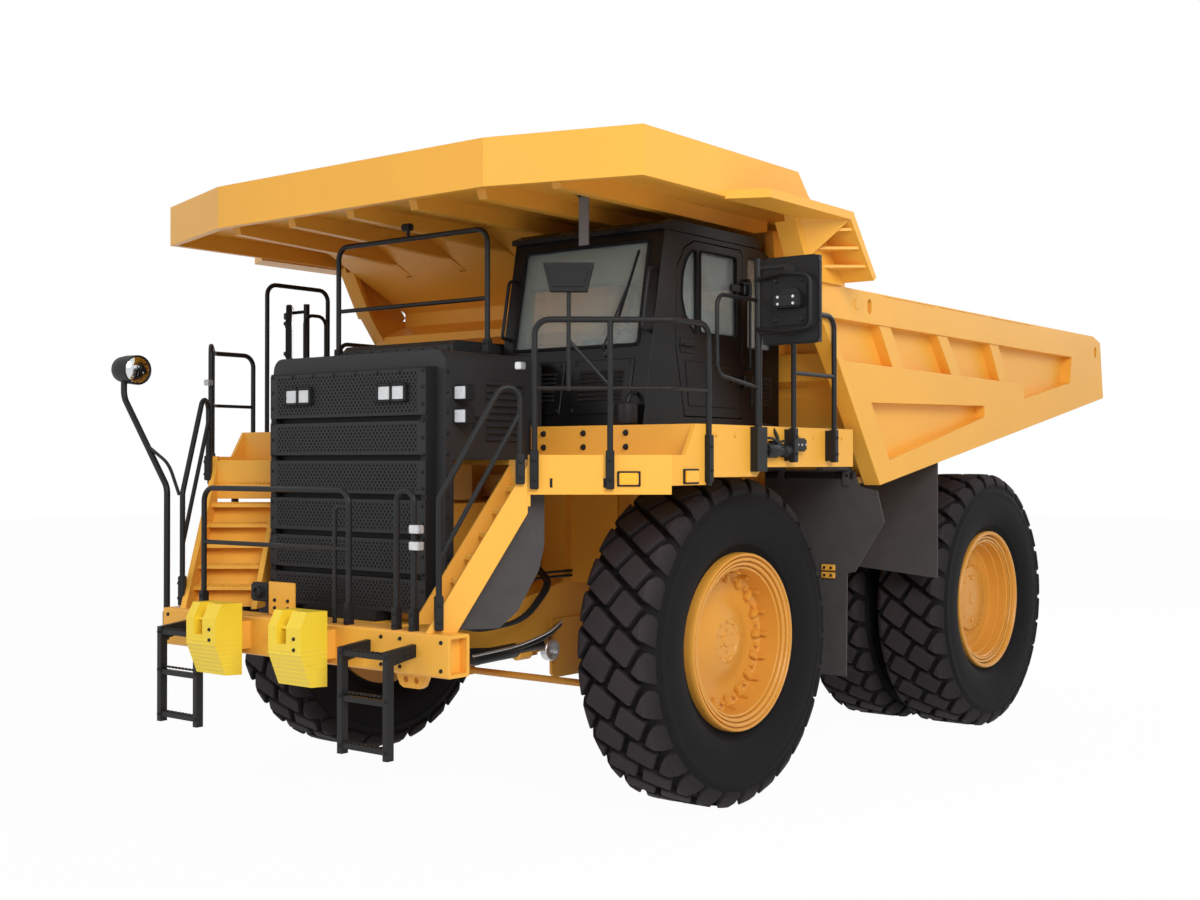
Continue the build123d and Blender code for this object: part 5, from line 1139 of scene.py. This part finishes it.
pads = Fitting("seat_pads")
bases = Fitting("seat_bases")
for low_x, high_x in ((1.150, 1.650), (0.600, 1.000)):
    pad(pads, at(low_x, 0.110, 3.500), at(high_x, 0.600, 3.620))
    pad(pads, at(low_x + 0.01, 0.440, 3.860), at(high_x - 0.01, 0.960, 3.990), radians(12))
    bases.block(dash_plastic, at(low_x + 0.09, 0.150, 3.168), at(high_x - 0.09, 0.560, 3.240), 0.012)
    for k in range(5):
        inset = 0.10 + 0.012 * (k % 2)
        bases.block(dash_plastic, at(low_x + inset, 0.170, 3.238 + 0.044 * k),
                    at(high_x - inset, 0.540, 3.282 + 0.044 * k), 0.010)
    bases.block(dash_plastic, at(low_x + 0.03, 0.130, 3.456), at(high_x - 0.03, 0.600, 3.512), 0.014)
    bases.block(dash_plastic, at(low_x - 0.045, 0.280, 3.66), at(low_x - 0.005, 0.600, 3.70), 0.014)
    for x in (low_x + 0.12, high_x - 0.12):
        bases.bar(black, [at(x, 0.600, 3.49), at(x, 0.700, 3.56), at(x, 0.800, 4.10)], 0.016, 0.06, 10)
seat_pads = pads.fixed("chassis", "seat_cloth", "cab_seats")
bases.block(dark, at(1.18, -0.475, 3.712), at(1.58, -0.462, 3.85), 0.006)
bases.plate(dash_plastic, [at(1.10, -0.55, 3.700), at(1.10, -0.455, 3.700), at(1.10, -0.470, 3.880),
                           at(1.10, -0.56, 3.860)], (0.56, 0, 0), 0.012)
for k in range(8):
    bases.block(black, at(0.66 + 0.05 * k, -0.484, 3.640), at(0.69 + 0.05 * k, -0.470, 3.672), 0.004)
bases.fixed("chassis", "dash_plastic")


# Mirrors
# Moulded black housings on tube posts with flat silvered glass behind; the small pole mirror at the bumper's
# right end is a domed one.
coat(black, "mirrors")
silver = Finish("silvered_glass")
silver_where = silver.place()
silvered = silver.done(silver.add("ShaderNodeBsdfPrincipled", None, {
    "Base Color": silver.mix(linear(222, 226, 228), linear(205, 209, 212), silver.noise(silver_where, 3.0)),
    "Metallic": 1.0, "Roughness": 0.03 + 0.03 * silver.noise(silver_where, 12.0)}))
housing_black = enamel("mirror_housing", linear(24, 24, 25), 0.5, 0.0, 0.002, 0.20)
heads = Fitting("mirror_heads")


def mirror_head(x, y, low_z, high_z, width, turn):
    """A housing with rounded corners over a mirror plate, its glass towards the tail."""
    across, out = Vector((cos(turn), sin(turn), 0)), Vector((sin(turn), -cos(turn), 0))
    middle = at(x, y, (low_z + high_z) / 2)
    tall = high_z - low_z

    def outline(w, h, corner):
        ring = []
        for cx, cz, first in ((1, 1, 0), (-1, 1, 1), (-1, -1, 2), (1, -1, 3)):
            for k in range(5):
                t = (first + k / 4) * pi / 2
                ring.append(across * (cx * (w / 2 - corner) + corner * cos(t))
                            + Vector((0, 0, cz * (h / 2 - corner) + corner * sin(t))))
        return ring
    heads.plate(housing_black, [middle + p + out * 0.034
                                for p in outline(width + 0.016, tall + 0.016, 0.055)], out * -0.054, 0.010)
    heads.plate(silvered, [middle - out * 0.026 + p for p in outline(width - 0.05, tall - 0.05, 0.040)],
                out * 0.004, 0.001)
    heads.plate(housing_black, [middle + p + out * 0.030 for p in outline(width * 0.62, tall * 0.60, 0.030)],
                out * 0.014, 0.005)
    heads.stamped(black, [middle + out * 0.043 + across * u * width * 0.24 + Vector((0, 0, v * tall * 0.23))
                          for u in (-1, 1) for v in (-1, 1)], out, bolt_large)
    for v in (-1, 1):
        heads.block(black, middle + Vector((-0.055, -0.052, v * tall * 0.36 - 0.035)),
                    middle + Vector((0.055, -0.020, v * tall * 0.36 + 0.035)), 0.008)


mirror_head(3.045, -0.2275, 3.740, 4.410, 0.510, 0.0)
mirror_head(-3.040, -0.230, 3.740, 4.410, 0.510, radians(-41))
heads.bar(black, [at(2.762, -0.300, 4.250), at(3.000, -0.330, 4.285), at(3.270, -0.330, 4.250),
                  at(3.270, -0.330, 3.850), at(3.000, -0.330, 3.830), at(2.762, -0.300, 3.860)], 0.015,
          0.07, 10)
heads.block(black, at(2.930, -0.345, 4.010), at(3.180, -0.255, 4.120), 0.012)
heads.plate(black, [at(2.950, -0.300, 4.115), at(2.990, -0.300, 4.165), at(3.120, -0.300, 4.165),
                    at(3.165, -0.300, 4.115)], (0, 0.045, 0), 0.006)
heads.stamped(catch_steel, [at(x, -0.345, z) for x in (2.985, 3.125) for z in (4.038, 4.092)], (0, -1, 0),
              bolt_head(0.012))
heads.turned(housing_black, at(-2.505, -2.485, 3.630), (1, 0, -0.06),
             [(0, 0), (0, 0.085), (0.030, 0.112), (0.110, 0.124), (0.262, 0.130), (0.266, 0.124),
              (0.258, 0.118), (0.258, 0)], 28)
heads.turned(silvered, at(-2.2475, -2.485, 3.615), (1, 0, -0.06),
             [(0, 0), (0, 0.116), (0.014, 0.095), (0.026, 0.055), (0.030, 0)], 28)
heads.bar(black, [at(-2.020, -2.540, 2.955), at(-1.700, -2.545, 2.800), at(-1.545, -2.550, 2.540)], 0.014,
          0.10, 10)
turned = Matrix.Rotation(radians(36), 3, "Z")
for finish, half_top, half_foot, high, low, ahead, deep in (
        (dark, 0.185, 0.135, 0.105, -0.105, -0.036, 0.070),
        (silvered, 0.155, 0.115, 0.080, -0.066, 0.0345, 0.002),
        (housing_black, 0.150, 0.110, 0.065, -0.070, -0.042, 0.010)):
    corners = ((-half_top, high), (half_top, high), (half_foot, low), (-half_foot, low))
    heads.plate(finish, [at(2.129, -1.825, 4.155) + turned @ Vector((u, ahead, w)) for u, w in corners],
                turned @ Vector((0, deep, 0)), 0.001)
heads.fixed("chassis", "satin_black")


# Load bed
# Welded steel plate: floor, ribbed sides, sloped headboard and a canopy over the cab, sprayed yellow. Loads
# have scoured the floor along its length. A flat bar hangs from the canopy in front of the cab.
coat(yellow, "bed_sides", "bed_headboard", "bed_canopy", "bed_beams", "rock_ejectors")
scoured = Finish("scoured_bed_paint")
where = scoured.place()
stretched = scoured.add("ShaderNodeMapping", None, {"Vector": where, "Scale": (9.0, 0.5, 1.0)})
streak = scoured.noise(stretched, 3.0, 8.0, 0.7)
patch = scoured.noise(where, 0.7, 4.0, 0.6)
bare = scoured.math("MULTIPLY", scoured.math("MULTIPLY", streak - 0.46, 6.0, clamp=True),
                    scoured.math("MULTIPLY", patch - 0.35, 3.0, clamp=True))
scratch_bump = scoured.add("ShaderNodeBump", None, {"Strength": 0.15, "Distance": 0.003, "Height": streak})
bed_floor = scoured.done(scoured.add("ShaderNodeBsdfPrincipled", None, {
    "Base Color": scoured.mix(linear(232, 168, 74), linear(150, 142, 132), bare * 0.8),
    "Roughness": 0.42 + 0.1 * streak, "Metallic": bare * 0.7, "Normal": scratch_bump}))
coat(bed_floor, "bed_floor")
bed = Fitting("bed_fittings")
bar_grey = enamel("flat_bar_grey", linear(112, 112, 114), 0.5, 0.0)
bed.block(bar_grey, at(1.440, -0.910, 4.560), at(1.545, -0.898, 4.978), 0.003)
bed.block(bar_grey, at(1.440, -0.960, 4.962), at(1.545, -0.850, 4.976), 0.003)
bed.stamped(black, [at(x, -0.930, 4.962) for x in (1.465, 1.520)], (0, 0, -1), bolt_small)
flap_low, flap_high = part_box("bed_flaps")
for sign in (1, -1):
    bed.stamped(black, [Vector((sign * (1.86 + 0.13 * k), flap_low.y, flap_high.z - 0.050))
                        for k in range(6)], (0, -1, 0), bolt_large)
    for y in (2.30, 3.45, 4.65):
        bed.bar(yellow, [at(sign * 2.762, y - 0.52, 4.322), at(sign * 2.762, y + 0.52, 4.322)], 0.009, 0.0, 8)
    bed.turned(yellow, at(sign * 2.756, 1.30, 4.20), (sign, 0, 0),
               [(0, 0), (0, 0.050), (0.012, 0.046), (0.014, 0.0)], 20)
bed.fixed("bed", "body_yellow")


# Flaps and fenders
# Cut sheets of dark grey rubber, bolted through steel strips. The mud flaps behind the front wheels have
# small yellow hinges.
flap_rubber = rubber("flap_rubber", linear(62, 61, 61), linear(84, 81, 80))
coat(flap_rubber, "mud_flaps", "bed_flaps", "front_fenders")
flaps = Fitting("flap_fittings")
for sign in (1, -1):
    for z in (1.775, 1.845):
        low_x, high_x = sorted((sign * 2.190, sign * 2.330))
        flaps.block(yellow, at(low_x, 1.640, z - 0.028), at(high_x, 1.664, z + 0.028), 0.004)
        flaps.stamped(dark, [at(sign * x, 1.640, z) for x in (2.225, 2.295)], (0, -1, 0), bolt_head(0.014))
    flaps.stamped(black, [at(sign * (1.66 + 0.16 * k), 1.662, 2.690) for k in range(6)], (0, -1, 0),
                  bolt_large)
    low_x, high_x = sorted((sign * 1.58, sign * 2.52))
    flaps.block(black, at(low_x, 1.650, 2.660), at(high_x, 1.663, 2.720), 0.003)
flaps.fixed("chassis", "rubber_flap")


# Hoists
# Telescopic oil cylinders in three stages: a painted barrel with a chromed, polished sleeve and rod inside
# it, pinned between the frame and the bed.
coat(black, "hoist_barrel_left", "hoist_barrel_right")
chrome = Finish("polished_chrome")
chrome_where = chrome.place()
coat(chrome.done(chrome.add("ShaderNodeBsdfPrincipled", None,
                            {"Base Color": chrome.mix(linear(226, 228, 230), linear(205, 207, 210),
                                                      chrome.noise(chrome_where, 4.0)), "Metallic": 1.0,
                             "Roughness": 0.10 + 0.1 * chrome.noise(chrome_where, 40.0)})),
     "hoist_sleeve_left", "hoist_sleeve_right", "hoist_rod_left", "hoist_rod_right")


# Tanks, pipes and tail lamps
# Welded tanks held by steel straps with screwed filler caps, steering cylinders and hoses under the frame,
# hard pipes clipped along its rails, cable boxes at the deck sides, and red tail lamps on the rail ends.
red = Finish("red_lamp_lens")
where = red.place()
red_lens = red.done(red.add("ShaderNodeBsdfPrincipled", None, {
    "Base Color": red.mix(linear(190, 18, 14), linear(150, 10, 8), red.noise(where, 50.0)),
    "Roughness": 0.14 + 0.1 * red.noise(where, 90.0), "Coat Weight": 0.5}))
gear = Fitting("chassis_fittings")
for sign in (1, -1):
    gear.plate(yellow, [at(sign * 0.690, -0.420, 1.46), at(sign * 0.690, -0.420, 0.985),
                        at(sign * 0.690, -0.380, 0.945), at(sign * 0.690, 0.260, 0.945),
                        at(sign * 0.690, 0.420, 1.46)], (sign * 0.030, 0, 0), 0.004)
    gear.turned(catch_steel, at(sign * 0.718, -0.475, 1.200), (sign, 0, 0),
                [(0, 0), (0, 0.092), (0.060, 0.092), (0.066, 0.086), (0.066, 0.066), (0.020, 0.062),
                 (0.020, 0)], 28)
    gear.turned(black, at(sign * 0.790, -1.480, 1.235), (0, 1, 0.03),
                [(0, 0), (0, 0.045), (0.03, 0.060), (0.52, 0.060), (0.55, 0.040), (0.86, 0.034), (0.86, 0)],
                18)
    gear.turned(yellow, at(sign * 0.760, -0.930, 1.210), (0, 1, 0.0),
                [(0, 0), (0, 0.040), (0.02, 0.055), (0.16, 0.055), (0.18, 0.040), (0.18, 0)], 18)
    gear.bar(black, [at(sign * 0.800, -1.520, 1.300), at(sign * 0.840, -1.050, 1.265),
                     at(sign * 0.830, -0.620, 1.330), at(sign * 0.700, -0.300, 1.400)], 0.026, 0.20, 10)
    gear.bar(catch_steel, [at(sign * 0.845, -1.500, 1.265), at(sign * 0.875, -1.000, 1.295),
                           at(sign * 0.840, -0.560, 1.375), at(sign * 0.700, -0.250, 1.440)], 0.011, 0.20,
             8)
    low_x, high_x = sorted((sign * 2.716, sign * 2.790))
    gear.block(black, at(low_x, 0.180, 2.900), at(high_x, 0.420, 3.010), 0.014)
    gear.block(black, at(low_x, -0.080, 2.925), at(high_x - 0.02, 0.060, 2.985), 0.010)
    for level, sag in ((2.970, 0.05), (2.945, -0.05), (2.925, -0.02)):
        gear.bar(black, [at(sign * 2.745, -0.300, level), at(sign * 2.785, -0.120, level + sag),
                         at(sign * 2.780, 0.060, level - sag), at(sign * 2.750, 0.190, level)], 0.011, 0.10,
                 8)
    gear.stamped(catch_steel, [at(sign * 2.790, 0.210 + 0.06 * k, 2.955) for k in range(4)], (sign, 0, 0),
                 bolt_head(0.011))
tank_low, tank_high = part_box("tanks")
frame_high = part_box("frame")[1]
for sign in (1, -1):
    face = sign * tank_high.x
    for share in (0.22, 0.78):
        y = tank_low.y + share * (tank_high.y - tank_low.y)
        low_x, high_x = sorted((face - sign * 0.004, face + sign * 0.010))
        gear.block(black, (low_x, y - 0.035, tank_low.z + 0.06), (high_x, y + 0.035, tank_high.z - 0.06),
                   0.003)
        gear.stamped(black, [(face + sign * 0.010, y, z) for z in (tank_low.z + 0.10, tank_high.z - 0.10)],
                     (sign, 0, 0), bolt_large)
    middle_y = (tank_low.y + tank_high.y) / 2
    gear.turned(black, (sign * 1.25, middle_y, tank_high.z - 0.002), (0, 0, 1),
                [(0, 0), (0, 0.075), (0.03, 0.075), (0.04, 0.062), (0.07, 0.060), (0.078, 0.050),
                 (0.078, 0)], 24)
    gear.turned(catch_steel, (face, middle_y, (tank_low.z + tank_high.z) / 2 + 0.12), (sign, 0, 0),
                [(0, 0), (0, 0.045), (0.008, 0.044), (0.010, 0.030), (0.006, 0.028), (0.006, 0)], 20)
    for offset in (0.0, 0.042):
        gear.bar(black, [at(sign * 0.712, -1.60, 1.86 - offset), at(sign * 0.712, 1.90, 1.86 - offset)],
                 0.012, 0.0, 8)
    for y in (-1.4, -0.9, 0.6, 1.2, 1.8):
        gear.block(black, at(min(sign * 0.700, sign * 0.730), y - 0.02, 1.795),
                   at(max(sign * 0.700, sign * 0.730), y + 0.02, 1.882), 0.004)
    for offset in (0.0, 0.05):
        gear.bar(black, [at(sign * 0.70, -1.55 + offset, 1.50), at(sign * 0.86, -1.45 + offset, 1.46),
                         at(sign * 1.00, -1.10 + offset, 1.52), at(sign * 0.98, -0.75 + offset, 1.80),
                         at(sign * 0.70, -0.60 + offset, 1.90)], 0.017, 0.16, 10)
    low_x, high_x = sorted((sign * 0.47, sign * 0.66))
    gear.block(black, (low_x, frame_high.y - 0.004, 1.760), (high_x, frame_high.y + 0.030, 1.900), 0.008)
    gear.block(red_lens, (low_x + 0.014, frame_high.y + 0.024, 1.774),
               (high_x - 0.014, frame_high.y + 0.042, 1.886), 0.008)
gear.fixed("chassis", "satin_black")
